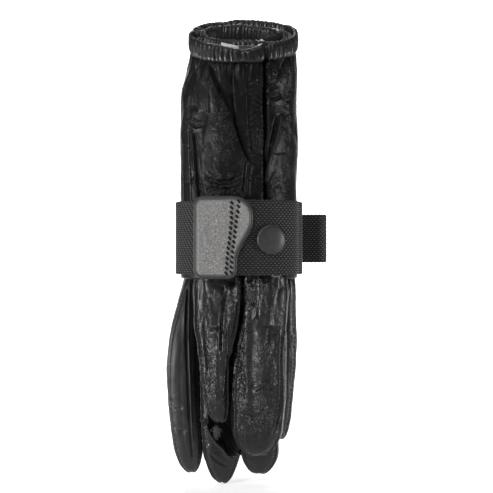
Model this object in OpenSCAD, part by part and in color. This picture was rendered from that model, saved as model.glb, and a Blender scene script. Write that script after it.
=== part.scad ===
// A pair of lined leather gloves rolled together and carried in a webbing strap.
// The strap closes at the front with a press stud and a moulded thumb tab,
// and has a belt loop across its back. The gloves hang with the fingers down.
// Millimetres. X is across the bundle, Y runs to the back, Z is up.

/* [Strap] */
// Width of the wrap webbing
strap_w = 38; // [34:1:42]
// Thickness of all webbing
web_t = 1.8; // [1.6:0.1:2.0]
// Half the inside width of the closed strap
strap_rx = 32; // [32:0.5:34]
// Half the inside depth of the closed strap
strap_ry = 23.5; // [23.5:0.5:25]
// Gap between the two overlapping strap ends, where the press stud sits
overlap_gap = 3; // [3:0.2:4]

/* [Press stud] */
// Diameter of the cap
cap_d = 15; // [13:0.5:15]
// Distance of the stud from the middle of the front
stud_x = 16; // [16:0.5:17]

/* [Thumb tab] */
// Width of the moulded tab
tab_w = 30; // [28:1:31]
// Height of the moulded tab
tab_h = 41.5; // [39:0.5:43]
// Thickness of the moulded tab
tab_t = 4.4; // [3.6:0.2:5]

/* [Belt loop] */
// Width of the belt loop webbing
loop_w = 27; // [25:1:30]
// Thickness of belt that the loop takes
belt_gap = 6.2; // [5.6:0.1:7]
// How far the loop's fold reaches to the right of the bundle's middle
loop_reach = 49.4; // [46:0.2:52]

/* [Gloves] */
// Height of the slanted cuff rim above the strap's middle
rim_z = 110; // [106:1:114]
// Height of the rolled cuff
cuff_h = 8.5; // [7:0.5:10]
// Depth of the mouth below the rim
mouth_depth = 42; // [36:1:46]

/* [Hidden] */

// The origin is in the belt loop, this far behind the bundle's axis.
axis_y = -(strap_ry + 2 * web_t + belt_gap / 2);
roundness = 2.2;               // exponent of the bundle's oval section
strap_steps = 96;              // facets round a full turn of the strap

// Glove section: the folded glove is a flat tube that follows the strap's inside.
glove_clear = 1;               // play between gloves and strap
wall_half = 5;                 // half the thickness of the folded glove
mid_rx = strap_rx - glove_clear - wall_half;
mid_ry = strap_ry - glove_clear - wall_half;
turn_len = 150;                // length that stands for a full turn of the tube's middle
walls_apart = 0.06;            // half the gap between the walls where they lie together
mouth_half = 3.4;              // half the gap between the walls at the mouth
leather_t = 1.6;               // thickness of the leather at the mouth
lining_t = 0.5;
rim_slope = 0.55;              // the rim rises to the back
slant_from = 60;               // where the slant starts
crotch_z = -22;                // where the fingers leave the hand
tube_steps = 22;               // facets along each side of the tube

// Press stud axis
flap_off = web_t + overlap_gap;
stud_dir = 17;                 // the stud faces this many degrees to the right
stud_z = -1;

// Hinge lines of the strap's flap and of the thumb tab
flap_hinge_angle = 340;
inner_end_angle = 307;
tab_hinge_x = 7.8;
web_end_x = -6;

leather = [0.09, 0.09, 0.095];
nylon = [0.10, 0.10, 0.105];
plastic = [0.33, 0.32, 0.32];
metal = [0.16, 0.16, 0.17];
knit = [0.13, 0.11, 0.10];

// ---------- curves ----------

// Point of the bundle's oval at an angle, with half axes rx and ry
function oval(a, rx, ry) = [
    rx * sign(cos(a)) * pow(abs(cos(a)), 2 / roundness),
    ry * sign(sin(a)) * pow(abs(sin(a)), 2 / roundness)];

// Point on the strap's path, off mm outside its inner face
function strap_at(a, off) = oval(a, strap_rx + off, strap_ry + off);

// Depth of the strap's outer face behind the axis, at x
function strap_back(x) =
    (strap_ry + web_t) * pow(1 - pow(abs(x) / (strap_rx + web_t), roundness), 1 / roundness);

// Angle on the front of the strap where its path, off mm out, has this x
function front_angle(x, off) =
    270 + sign(x) * asin(pow(abs(x) / (strap_rx + off), roundness / 2));

function smooth(t) = let (c = min(1, max(0, t))) c * c * (3 - 2 * c);
function mix(a, b, t) = a + (b - a) * t;

// Value at z from rows of [z, value, value, ...], z falling
function row_at(rows, z, i = 0) =
    i >= len(rows) - 2 || z >= rows[i + 1][0]
    ? mix(rows[i], rows[i + 1], smooth((rows[i][0] - z) / (rows[i][0] - rows[i + 1][0])))
    : row_at(rows, z, i + 1);

module place() translate([0, axis_y, 0]) children();

// A strip of webbing: its two faces as lists of points, extruded along Z
module strip(inner, outer, height) {
    points = concat(inner, [for (i = [len(outer) - 1:-1:0]) outer[i]]);
    translate([0, 0, -height / 2]) linear_extrude(height) polygon(points);
}

// A solid between rings of points with the same even count. Its ends are strips of triangles
// between the first and the second half of the ring, so a ring may be a bent flat outline.
module loft(rings) {
    n = len(rings[0]);
    m = len(rings);
    sides = [for (k = [0:m - 2], i = [0:n - 1]) let (j = (i + 1) % n)
        each [[k * n + i, k * n + j, (k + 1) * n + j], [k * n + i, (k + 1) * n + j, (k + 1) * n + i]]];
    end = [for (i = [0:n / 2 - 2]) each [[i, i + 1, n - 1 - i], [i + 1, n - 2 - i, n - 1 - i]]];
    first = [for (t = end) [t[2], t[1], t[0]]];
    last = [for (t = end) t + (m - 1) * n * [1, 1, 1]];
    polyhedron([for (r = rings) each r], concat(sides, first, last));
}

// ---------- strap ----------

stud_hole_r = 2.15;
post_r = 4.6;                  // radius of the post's flange inside the strap

module wrap_webbing() {
    angles = [for (a = [flap_hinge_angle - 360:360 / strap_steps:inner_end_angle]) a];
    color(nylon) place() difference() {
        strip([for (a = angles) strap_at(a, 0)], [for (a = angles) strap_at(a, web_t)], strap_w);
        stud_axis(-6) cylinder(r = stud_hole_r, h = 12, $fn = 40);
        // the flange is pressed into the webbing
        stud_axis(-6) cylinder(r = post_r + 0.15, h = 6 - web_t, $fn = 40);
    }
}

// How far the flap stands off the strap's inner face at an angle
function flap_at(a) = flap_off * smooth((flap_hinge_angle - a) / (flap_hinge_angle - inner_end_angle - 3));

module flap_strip(from, to) {
    steps = 28;
    angles = [for (i = [0:steps]) mix(from, to, i / steps)];
    strip([for (a = angles) strap_at(a, flap_at(a))],
          [for (a = angles) strap_at(a, flap_at(a) + web_t)], strap_w);
}

tab_hinge_angle = front_angle(tab_hinge_x, flap_off + web_t);

module flap_webbing() {
    color(nylon) place() difference() {
        flap_strip(flap_hinge_angle, tab_hinge_angle);
        stud_axis(-2) cylinder(r = stud_hole_r, h = 16, $fn = 40);
    }
}

module tab_webbing() {
    color(nylon) place() flap_strip(tab_hinge_angle, front_angle(web_end_x, flap_off + web_t));
}

// Puts children on the stud's axis: +Z points out of the strap, z = 0 on the inner end's outer face
module stud_axis(lift) {
    foot = strap_at(front_angle(stud_x - flap_off * sin(stud_dir), web_t), web_t);
    translate([foot[0], foot[1], stud_z]) rotate([0, 0, stud_dir]) rotate([90, 0, 0])
        translate([0, 0, lift]) children();
}

socket_h = overlap_gap - 0.7;

module snap_stud() {
    color(metal) place() stud_axis(0.35) rotate_extrude($fn = 64)
        polygon([[0, -2.42], [2, -2.42], [2, 0], [5, 0], [5, 0.4], [2, 0.44], [1.8, 1.2], [2.1, 1.7],
                 [1.9, 2.1], [0, 2.2]]);
}

module snap_post() {
    color(metal) place() stud_axis(-1.82) rotate_extrude($fn = 64)
        polygon([[2.02, -0.25], [post_r - 0.2, -0.15], [post_r, 0], [2.02, 0]]);
}

module snap_socket() {
    color(metal) place() stud_axis(0.85) rotate_extrude($fn = 64)
        polygon([[2.9, 0], [5.4, 0], [5.6, 0.5], [5.2, socket_h - 0.4], [2.05, socket_h - 0.4],
                 [2.05, socket_h - 0.7], [2.9, socket_h - 1]]);
}

module snap_cap() {
    r = cap_d / 2;
    rise = 1.7;
    steps = 10;
    color(metal) place() stud_axis(flap_off + 0.25) rotate_extrude($fn = 96)
        polygon(concat([[0, -1.9], [2, -1.9], [2, 0], [r - 0.5, 0], [r, 0.4], [r, 0.8]],
            [for (i = [1:steps]) let (a = 90 * i / steps) [r * cos(a), 0.8 + rise * sin(a)]]));
}

// ---------- thumb tab ----------

// The tab's outline: square on the left, an S curve down its right side
tab_left = tab_hinge_x - 0.3 - tab_w;
tab_front = -(strap_ry + flap_off + web_t);
corner = 5;

function arc(cx, cy, r, from, to, steps = 6) =
    [for (i = [0:steps]) let (a = mix(from, to, i / steps)) [cx + r * cos(a), cy + r * sin(a)]];

function tab_outline(inset = 0) =
    let (l = tab_left + inset, r = tab_left + tab_w - inset, h = tab_h / 2 - inset,
         waist = r - 8, c = corner - inset * 0.4)
    concat(
        arc(l + c, -h + c, c, 180, 270), arc(waist - c, -h + c, c, 270, 340),
        [for (t = [0.1:0.1:1]) [mix(waist, r, smooth(t)), mix(-h + 9, h * 0.42, t)]],
        arc(r - 2 * c, h - 2 * c, 2 * c, 0, 90, 8), arc(l + c, h - c, c, 90, 180));

module tab_plate(from, to, inset) {
    translate([0, from, 0]) rotate([90, 0, 0]) linear_extrude(from - to) polygon(tab_outline(inset));
}

stitch_pitch = 2.4;
stitch_rows = 15;
// Middle of the stitched channel at height z
function stitch_x(z) = -3.2 + 1.7 * sin(z * 4.2);

module thumb_tab() {
    channel = concat(
        [for (z = [-18:3:18]) [stitch_x(z) - 2.2, z]], [for (z = [18:-3:-18]) [stitch_x(z) + 2.2, z]]);
    color(plastic) place() difference() {
        union() {
            tab_plate(tab_front, tab_front - 1.4, 0);
            tab_plate(tab_front - 1.4, tab_front - tab_t + 0.8, 0.9);
            tab_plate(tab_front - tab_t + 0.8, tab_front - tab_t, 2.2);
        }
        translate([0, tab_front - 2, 0]) rotate([90, 0, 0]) linear_extrude(5) polygon(channel);
    }
}

module tab_stitching() {
    color(nylon) place() for (side = [-1, 1], i = [0:stitch_rows - 1]) {
        z = (i - (stitch_rows - 1) / 2) * stitch_pitch;
        translate([stitch_x(z) + side * 1.2, tab_front - 2.3, z]) rotate([0, side * 25, 0])
            cylinder(r = 0.3, h = 1.7, center = true, $fn = 16);
    }
}

// ---------- belt loop ----------

loop_left = -22;               // where the loop's layers are sewn down
loop_free = 4;                 // where the loop leaves the strap
loop_slope = -0.058;

module belt_loop_webbing() {
    fold_r = (belt_gap + web_t) / 2;
    fold_x = loop_reach - fold_r - web_t / 2;
    // The inner face of the inner run follows the strap, then runs straight.
    near = function (x) x <= loop_free
        ? strap_back(x)
        : strap_back(loop_free) + loop_slope * (x - loop_free);
    xs = [for (x = [loop_left:2:fold_x]) x, fold_x];
    cy = near(fold_x) + web_t / 2 + fold_r;
    // The outer run closes down onto the inner run at the sewn end.
    lift = function (x) belt_gap * smooth((x - loop_left - 6) / 6);
    color(nylon) place() union() {
        strip([for (x = xs) [x, near(x)]], [for (x = xs) [x, near(x) + web_t]], loop_w);
        strip(arc(fold_x, cy, fold_r - web_t / 2, -90, 90, 14),
              arc(fold_x, cy, fold_r + web_t / 2, -90, 90, 14), loop_w);
        strip([for (x = xs) [x, near(x) + web_t + lift(x)]],
              [for (x = xs) [x, near(x) + 2 * web_t + lift(x)]], loop_w);
    }
}

// Two rows of thread that sew the loop's layers down at its left end
loop_rows_x = [-20.6, -17.4];
loop_stitches = 10;
module belt_loop_stitching() {
    outer = strap_back(19) + 2 * web_t;
    first = -loop_w / 2 + 2.7;
    color(nylon) place() for (row = [0, 1], i = [0:loop_stitches - 1])
        translate([loop_rows_x[row], outer - 0.75 + row * 1.25, first + i * stitch_pitch])
            cylinder(r = 0.35, h = 1.7, center = true, $fn = 16);
}

// ---------- gloves ----------

// Offset of a rounded flat tube at u, from 0 to 1 along its length l, for half thickness h
function tube_off(u, l, h) =
    let (e = min(u, 1 - u) * l) e >= h ? h : h * sqrt(1 - pow(1 - e / h, 2));
function spread(i, n) = (1 - cos(180 * i / n)) / 2;

// Half the gap between the two walls at u, which closes leather_t before the tube's ends
function gap_off(u, l, h) =
    let (e = min(u, 1 - u) * l - leather_t, inner = l - 2 * leather_t)
    e <= 0 ? 0 : tube_off(e / inner, inner, h);

// Height of a point that belongs to level z: levels above slant_from lean up to the rim
function lean(z, y) = z + rim_slope * y * smooth((z - slant_from) / (rim_z - cuff_h - slant_from));

// One wall of the folded glove. side is 1 for the outer wall, the back of the hand, and -1
// for the inner wall, the palm. Each level is [z, start angle, end angle, mouth gap].
module glove_wall(levels, side) {
    n = tube_steps;
    point = function (row, u, off)
        let (a = row[1] + (row[2] - row[1]) * u, p = oval(a, mid_rx + side * off, mid_ry + side * off))
        [p[0], p[1], lean(row[0], p[1])];
    ring = function (row) let (l = abs(row[2] - row[1]) / 360 * turn_len) concat(
        [for (i = [0:n]) let (u = spread(i, n)) point(row, u, max(0.35, tube_off(u, l, wall_half)))],
        [for (i = [n:-1:0]) let (u = spread(i, n), gap = row[3] > 0 ? gap_off(u, l, row[3]) : 0)
            point(row, u, max(walls_apart, gap))]);
    rings = [for (row = levels) ring(row)];
    if (side > 0) loft([for (i = [len(rings) - 1:-1:0]) rings[i]]);
    else loft(rings);
}

// Outline of the whole tube, shrunk by inset at its ends
function tube_outline(a0, a1, h, inset, z) =
    let (n = tube_steps, s = sign(a1 - a0), turn = inset / turn_len * 360 * s,
         span = a1 - a0 - 2 * turn, l = abs(span) / 360 * turn_len)
    concat(
        [for (i = [0:n]) let (u = spread(i, n), o = tube_off(u, l, h),
            p = oval(a0 + turn + span * u, mid_rx + o, mid_ry + o)) [p[0], p[1], lean(z, p[1])]],
        [for (i = [n - 1:-1:1]) let (u = spread(i, n), o = tube_off(u, l, h),
            p = oval(a0 + turn + span * u, mid_rx - o, mid_ry - o)) [p[0], p[1], lean(z, p[1])]]);

// A closed band that follows the tube. Each row of its section is [half thickness, inset, z].
module band(a0, a1, section) {
    rings = [for (row = section) tube_outline(a0, a1, row[0], row[1], row[2])];
    n = len(rings[0]);
    m = len(rings);
    faces = [for (k = [0:m - 1], i = [0:n - 1]) let (j = (i + 1) % n, q = (k + 1) % m)
        each [[k * n + i, k * n + j, q * n + j], [k * n + i, q * n + j, q * n + i]]];
    polyhedron([for (r = rings) each r], faces);
}

// A flat, round-ended finger. Rows are [z, x, y, half width, half thickness, turn].
// groove sinks its sides, where the fourchette strips lie.
finger_sides = 24;
tip_share = 0.17;              // share of the finger's length that rounds off
strip_depth = 0.7;

function finger_ring(rows, z, cap, from, to, count, sink) =
    let (r = row_at(rows, z))
    [for (i = [0:count - 1]) let (
        a = mix(from, to, i / (abs(to - from) == 360 ? count : count - 1)),
        side_part = abs(cos(a)) > 0.93 ? 1 : 0,
        hw = r[3] * cap - sink * side_part * strip_depth, ht = r[4] * cap,
        px = hw * sign(cos(a)) * pow(abs(cos(a)), 0.8), py = ht * sign(sin(a)) * pow(abs(sin(a)), 0.8))
        [r[1] + px * cos(r[5]) - py * sin(r[5]), r[2] + px * sin(r[5]) + py * cos(r[5]), z]];

function finger_levels(rows) =
    let (top = rows[0][0], tip = rows[len(rows) - 1][0], round_h = (top - tip) * tip_share,
         start = tip + round_h)
    concat([for (i = [0:6]) [mix(top, start, i / 6), 1]],
           [for (a = [20, 40, 56, 70, 81]) [start - round_h * sin(a), max(0.1, cos(a))]]);

module finger(rows, sink = 1) {
    loft([for (l = finger_levels(rows)) finger_ring(rows, l[0], l[1], 360, 0, finger_sides, sink)]);
}

// The two side strips of a finger, each between the finger's groove and its outline
module fourchette(rows, sides = [0, 180]) {
    levels = [for (l = finger_levels(rows)) if (l[1] > 0.7) l];
    half = 14;
    for (s = sides) loft([for (l = levels) concat(
        finger_ring(rows, l[0], l[1], s + half, s - half, 5, 0),
        finger_ring(rows, l[0], l[1], s - half, s + half, 5, 0.88))]);
}

// Front glove: a flat tube from the left side round to the middle of the front.
// Its lower end is narrower, so that the two gloves lie side by side under the strap.
front_a = 176;
front_b = 291;
front_levels = [
    [crotch_z, front_a, 268, 0], [-6, front_a, 272, 0], [8, front_a, 283, 0],
    [20, front_a, front_b, 0], [slant_from, front_a, front_b, 0],
    [rim_z - mouth_depth, front_a, front_b, 0],
    [rim_z - mouth_depth + 12, front_a, front_b, mouth_half],
    [rim_z - cuff_h, front_a, front_b, mouth_half]];
// Rear glove: a flat tube from the left, round the back and the right side, to the front right
rear_a = 165;
rear_b = -62;
rear_levels = [
    [crotch_z, rear_a, -84, 0], [-6, rear_a, -79, 0], [8, rear_a, -69, 0],
    [20, rear_a, rear_b, 0], [slant_from, rear_a, rear_b, 0],
    [rim_z - mouth_depth, rear_a, rear_b, 0],
    [rim_z - mouth_depth + 12, rear_a, rear_b, mouth_half],
    [rim_z - cuff_h, rear_a, rear_b, mouth_half]];

front_thumb = [
    [crotch_z, -10.7, -15.8, 12, 4.9, -9], [-42, -11.4, -15.6, 11.2, 5.2, -8],
    [-56, -12.3, -15.6, 8.9, 5.2, -5], [-75, -11.6, -15.5, 7.6, 5.2, -3], [-95, -9.6, -15, 6.2, 4.8, 0]];
front_index = [
    [crotch_z, -10.5, -5.6, 8.6, 4, 0], [-60, -10, -5.4, 9.2, 4.1, 0],
    [-105, -10, -5.7, 9.2, 4.2, 0], [-129, -9.6, -5.9, 8.4, 4, 0]];
front_middle = [
    [crotch_z, -11, 1.2, 8.2, 2.1, 0], [-70, -11, 1.2, 8.2, 2.2, 0], [-121, -11, 1.2, 7.4, 2.1, 0]];
front_ring = [
    [crotch_z, -9.4, 6.3, 6.8, 1.9, 3], [-70, -9.4, 6.4, 6.8, 1.9, 3], [-114, -9, 6.4, 6.2, 1.8, 3]];
front_little = [
    [crotch_z, 6, 6.2, 7.4, 2.3, -4], [-60, 6, 6.4, 7.4, 2.4, -4], [-98, 6, 6.4, 6.2, 2.2, -4]];

rear_thumb = [
    [crotch_z, 25.6, -0.5, 4.5, 8.5, 0], [-60, 25.2, 0, 5.2, 9, 0],
    [-80, 24, 0, 5, 8.4, 0], [-107, 22, 0.5, 4.4, 7, 0]];
rear_index = [
    [crotch_z, 13.8, -17.6, 10.2, 4.1, 9], [-45, 13.2, -17.2, 10.8, 5.2, 9],
    [-62, 11.6, -16.6, 12.6, 5.8, 7], [-90, 10.2, -16.2, 13.2, 6.2, 5], [-113, 10.4, -16, 11.6, 6, 4]];
rear_middle = [
    [crotch_z, 15, -10, 7.6, 3.2, 8], [-50, 11.2, -6, 8.8, 3.6, 4],
    [-90, 9.8, -4.6, 8.6, 4.4, 0], [-125, 10.5, -4, 9, 4.4, 0]];
rear_ring = [
    [crotch_z, -24, 6.4, 4.4, 7, 12], [-36, -26, 3.4, 6, 8.6, 8],
    [-60, -29.6, 0, 8.6, 9.2, 4], [-95, -28.6, -1, 8.2, 8.8, 0], [-125, -25, -1.5, 6.6, 7.4, 0]];
rear_little = [
    [crotch_z, 1, 17.2, 15, 4.4, 0], [-60, 0, 16.8, 14, 5.2, 0],
    [-95, -1, 16.2, 12.4, 5.2, 0], [-117, -1, 15.8, 10.6, 4.8, 0]];

// The rolled-in side of the front glove, which fills the hollow of the bundle behind the strap
module front_glove_palm_fold() {
    rows = [[0.98, crotch_z], [1, -10], [1, 14], [0.9, 26], [0.66, 34], [0.3, 38]];
    rx = mid_rx - wall_half - 1.2;
    ry = mid_ry - wall_half - 1.1;
    color(leather) place() loft([for (r = rows) [for (i = [0:39]) let (p = oval(i * 9, rx, ry) * r[0])
        [p[0] - 0.6, p[1] - 0.2, r[1]]]]);
}

module front_glove_back() { color(leather) place() glove_wall(front_levels, 1); }
module front_glove_palm() { color(leather) place() glove_wall(front_levels, -1); }
module front_glove_thumb() { color(leather) place() finger(front_thumb, 0); }
module front_glove_index_finger() { color(leather) place() finger(front_index); }
module front_glove_middle_finger() { color(leather) place() finger(front_middle); }
module front_glove_ring_finger() { color(leather) place() finger(front_ring); }
module front_glove_little_finger() { color(leather) place() finger(front_little); }
module front_glove_fourchettes() {
    color(leather) place() {
        fourchette(front_index);
        fourchette(front_middle);
        fourchette(front_ring);
        fourchette(front_little);
    }
}
module rear_glove_back() { color(leather) place() glove_wall(rear_levels, 1); }
module rear_glove_palm() { color(leather) place() glove_wall(rear_levels, -1); }
module rear_glove_thumb() { color(leather) place() finger(rear_thumb, 0); }
module rear_glove_index_finger() { color(leather) place() finger(rear_index); }
module rear_glove_middle_finger() { color(leather) place() finger(rear_middle); }
module rear_glove_ring_finger() { color(leather) place() finger(rear_ring); }
module rear_glove_little_finger() { color(leather) place() finger(rear_little); }
module rear_glove_fourchettes() {
    color(leather) place() {
        fourchette(rear_index);
        fourchette(rear_middle);
        fourchette(rear_ring);
        fourchette(rear_little);
    }
}

// Rolled cuff, with the elastic in a channel on its inner side
cuff_roll = 0.4;               // how far the roll stands proud of the glove
channel = [3, 5.6];            // the elastic's channel, above the cuff's foot
elastic_t = 1;
module cuff(a0, a1) {
    z = rim_z - cuff_h;
    h = wall_half + cuff_roll;
    deep = elastic_t + 0.1;
    color(leather) place() band(a0, a1, [
        [h - 0.5, 0.5 - cuff_roll, z], [h, -cuff_roll, z + 1.2], [h, -cuff_roll, z + cuff_h - 2],
        [h - 0.9, 0.9 - cuff_roll, z + cuff_h], [mouth_half + 0.4, leather_t - 0.4, z + cuff_h],
        [mouth_half, leather_t, z + cuff_h - 1],
        [mouth_half, leather_t, z + channel[1]], [mouth_half + deep, leather_t - deep, z + channel[1]],
        [mouth_half + deep, leather_t - deep, z + channel[0]], [mouth_half, leather_t, z + channel[0]],
        [mouth_half, leather_t, z]]);
}
module cuff_elastic(a0, a1) {
    z = rim_z - cuff_h;
    a = mouth_half;
    b = mouth_half + elastic_t;
    color(knit) place() band(a0, a1, [
        [b, leather_t - elastic_t, z + channel[0] + 0.1], [b, leather_t - elastic_t, z + channel[1] - 0.1],
        [a, leather_t, z + channel[1] - 0.1], [a, leather_t, z + channel[0] + 0.1]]);
}
lining_play = 0.3;             // between the lining and the leather
module lining(a0, a1) {
    a = mouth_half - 1.5 * lining_play;
    i = leather_t + lining_play;
    z0 = rim_z - mouth_depth + 14;
    z1 = rim_z - 1.5;
    levels = [0, 0.35, 0.7, 1];
    color(knit) place() loft([
        for (t = levels) tube_outline(a0, a1, a, i, mix(z0, z1, t)),
        for (t = levels) tube_outline(a0, a1, a - lining_t, i + lining_t, mix(z1, z0 + 1, t))]);
}
module front_glove_cuff() { cuff(front_a, front_b); }
module rear_glove_cuff() { cuff(rear_a, rear_b); }
module front_glove_cuff_elastic() { cuff_elastic(front_a, front_b); }
module rear_glove_cuff_elastic() { cuff_elastic(rear_a, rear_b); }
module front_glove_lining() { lining(front_a, front_b); }
module rear_glove_lining() { lining(rear_a, rear_b); }

// Label tape, sewn flat inside the mouth
label_size = [9, 0.35, 14];
label_at = [-2, -15.5, rim_z - 17];
module front_glove_label() {
    color("white") place() translate(label_at) cube(label_size, center = true);
}

// Raised stitched lines on the back of a hand, as thin rods let into the leather
points_r = 0.45;
points_z = -16;                // where the lines end, under the strap
module points_line(a_top, a_low, z_top, z_low = points_z) {
    steps = 8;
    for (i = [0:steps - 1]) {
        angle = function (t) mix(a_top, a_low, smooth(t));
        p = function (t) let (q = oval(angle(t), mid_rx + wall_half, mid_ry + wall_half))
            [q[0], q[1], mix(z_top, z_low, t)];
        a = p(i / steps);
        b = p((i + 0.94) / steps);
        d = b - a;
        translate(a) rotate([0, acos(d[2] / norm(d)), atan2(d[1], d[0])])
            cylinder(r = points_r, h = norm(d), $fn = 16);
    }
}
module front_glove_points() {
    color(leather) place() {
        points_line(215, 224, 58);
        points_line(202, 206, 50);
    }
}
module rear_glove_points() {
    color(leather) place() {
        points_line(-40, -52, 66, 16);
        points_line(60, 68, 62);
        points_line(90, 90, 66);
        points_line(120, 112, 62);
    }
}

wrap_webbing();
snap_stud();
snap_post();
belt_loop_webbing();
belt_loop_stitching();
flap_webbing();
snap_cap();
snap_socket();
tab_webbing();
thumb_tab();
tab_stitching();
front_glove_back();
front_glove_palm();
front_glove_palm_fold();
front_glove_thumb();
front_glove_index_finger();
front_glove_middle_finger();
front_glove_ring_finger();
front_glove_little_finger();
front_glove_fourchettes();
front_glove_cuff();
front_glove_cuff_elastic();
front_glove_lining();
front_glove_points();
front_glove_label();
rear_glove_back();
rear_glove_palm();
rear_glove_thumb();
rear_glove_index_finger();
rear_glove_middle_finger();
rear_glove_ring_finger();
rear_glove_little_finger();
rear_glove_fourchettes();
rear_glove_cuff();
rear_glove_cuff_elastic();
rear_glove_lining();
rear_glove_points();
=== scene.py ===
"""A pair of lined leather gloves, rolled and held in a webbing glove strap.

Every shape is worked out in millimetres, in the bundle's own coordinates: X to the right, Y to the
back from the bundle's axis, Z up. MM and AXIS_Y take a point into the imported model's frame.
"""
import math

import bpy
import numpy as np
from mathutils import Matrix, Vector


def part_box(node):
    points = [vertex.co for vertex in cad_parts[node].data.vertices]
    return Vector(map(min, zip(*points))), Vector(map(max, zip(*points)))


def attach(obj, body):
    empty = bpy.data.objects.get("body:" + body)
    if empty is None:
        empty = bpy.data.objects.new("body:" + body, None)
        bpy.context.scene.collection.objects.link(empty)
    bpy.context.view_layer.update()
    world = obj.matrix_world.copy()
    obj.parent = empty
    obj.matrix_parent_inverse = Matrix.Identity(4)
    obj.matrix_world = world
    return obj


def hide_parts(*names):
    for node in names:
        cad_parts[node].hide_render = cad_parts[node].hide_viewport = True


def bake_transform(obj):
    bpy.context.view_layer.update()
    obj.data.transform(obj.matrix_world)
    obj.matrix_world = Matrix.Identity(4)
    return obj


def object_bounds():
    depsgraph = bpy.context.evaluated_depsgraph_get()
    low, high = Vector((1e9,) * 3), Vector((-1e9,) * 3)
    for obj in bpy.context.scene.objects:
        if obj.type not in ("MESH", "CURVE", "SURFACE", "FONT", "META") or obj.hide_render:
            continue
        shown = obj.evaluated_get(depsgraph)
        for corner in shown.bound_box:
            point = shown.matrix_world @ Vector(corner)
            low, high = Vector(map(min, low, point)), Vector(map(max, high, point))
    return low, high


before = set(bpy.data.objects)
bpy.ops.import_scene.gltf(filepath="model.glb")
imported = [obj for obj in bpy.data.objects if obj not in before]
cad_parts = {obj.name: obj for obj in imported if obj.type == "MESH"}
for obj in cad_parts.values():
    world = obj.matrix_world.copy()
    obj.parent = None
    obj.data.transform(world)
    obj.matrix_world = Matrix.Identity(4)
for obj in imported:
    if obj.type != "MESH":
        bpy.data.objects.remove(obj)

MM = 0.001
CAD_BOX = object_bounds()


def box_mm(node):
    """Lowest and highest corner of a CAD node, in millimetres."""
    low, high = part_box(node)
    return np.array(low) / MM, np.array(high) / MM


# ---------- sizes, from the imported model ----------

WRAP_LOW, WRAP_HIGH = box_mm("wrap_webbing")
AXIS_Y = (WRAP_LOW[1] + WRAP_HIGH[1]) / 2
STRAP_W = WRAP_HIGH[2] - WRAP_LOW[2]
WEB_T = 1.8                      # thickness of the webbing
STRAP_RX = (WRAP_HIGH[0] - WRAP_LOW[0]) / 2 - WEB_T
STRAP_RY = (WRAP_HIGH[1] - WRAP_LOW[1]) / 2 - WEB_T
ROUND = 2.2                      # exponent of the bundle's oval section
WALL = 5.0                       # half thickness of a folded glove
MID_RX = STRAP_RX - 1 - WALL     # middle line of the folded gloves
MID_RY = STRAP_RY - 1 - WALL
FULL_TURN = 150.0                # length that stands for a full turn of the middle line

RIM_Z = 110.0                    # height of the rim over the bundle's axis
RIM_SLOPE = 0.55                 # the rim rises to the back
SLANT_FROM = 60.0                # level where the slant towards the rim begins
CUFF_H = 8.5
CUFF_FOOT = RIM_Z - CUFF_H
FOOT_Z = -21.5                   # lower end of the hand part, inside the strap

FLAP_OFF = 4.8                   # the flap stands this far outside the strap's inner face
FLAP_HINGE = 340.0               # degrees round the strap
INNER_END = 307.0                # where the wrap ends, under the flap
TAB_HINGE_X = 7.8
STUD_X = 16.0
STUD_TURN = 17.0                 # degrees that the press stud faces to the right
STUD_Z = -1.0


# ---------- numbers ----------

def smooth(t):
    """0 below 0, 1 above 1 and an S curve between."""
    t = np.clip(t, 0.0, 1.0)
    return t * t * (3 - 2 * t)


def bell(d, width):
    """1 at 0, falling off over the width on both sides."""
    return np.exp(-(d / width) ** 2)


def signed_power(v, power):
    """v raised to a power, with its sign kept."""
    return np.sign(v) * np.abs(v) ** power


def stack(*parts):
    """Coordinates or indices side by side on a last axis."""
    return np.stack(np.broadcast_arrays(*parts), axis=-1)


def whole_turn(n):
    """n angles of a full turn, in radians."""
    return np.linspace(0, 2 * np.pi, n, endpoint=False)


def run_length(line):
    """Length along a line at each of its points."""
    return np.concatenate([[0], np.cumsum(np.linalg.norm(np.diff(line, axis=0), axis=1))])


def read_line(line, at, want):
    """Points of a line at the lengths wanted; its own points are at the lengths at."""
    return np.stack([np.interp(want, at, column) for column in line.T], axis=1)


def through(points, n, closed=False):
    """n points on a smooth curve through the given ones, evenly spaced along it."""
    p = np.array(points, float)
    if closed:
        p = np.vstack([p[-1], p, p[0], p[1]])
    else:
        p = np.vstack([2 * p[0] - p[1], p, 2 * p[-1] - p[-2]])
    t = np.linspace(0, 1, 13)[:-1, None]
    parts = []
    for a, b, c, d in zip(p[:-3], p[1:-2], p[2:-1], p[3:]):
        parts.append(0.5 * (2 * b + (c - a) * t + (2 * a - 5 * b + 4 * c - d) * t ** 2
                            + (3 * b - a - 3 * c + d) * t ** 3))
    return evenly(np.vstack(parts + [p[-2][None]]), n, closed)


def evenly(line, n, closed=False):
    """The same line with n evenly spaced points; a closed one ends one step before its start."""
    at = run_length(line)
    want = np.linspace(0, at[-1], n + 1)[:-1] if closed else np.linspace(0, at[-1], n)
    return read_line(line, at, want)


LATTICE = 32                     # the noise repeats after this many lumps
LATTICE_VALUES = np.random.default_rng(11).uniform(-1, 1, (LATTICE,) * 3)


def noise(p, size, seed=0):
    """Smooth noise from -1 to 1 at points p, with lumps of the given size: one number or three."""
    q = np.asarray(p, float) / np.asarray(size, float) + seed * 7.31 + 100.0
    cell = np.floor(q).astype(int)
    f = q - cell
    f = f * f * (3 - 2 * f)
    total = 0.0
    for corner in np.ndindex(2, 2, 2):
        i, j, k = np.moveaxis((cell + corner) % LATTICE, -1, 0)
        share = np.abs(1 - np.array(corner) - f)
        total = total + share[..., 0] * share[..., 1] * share[..., 2] * LATTICE_VALUES[i, j, k]
    return total


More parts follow.
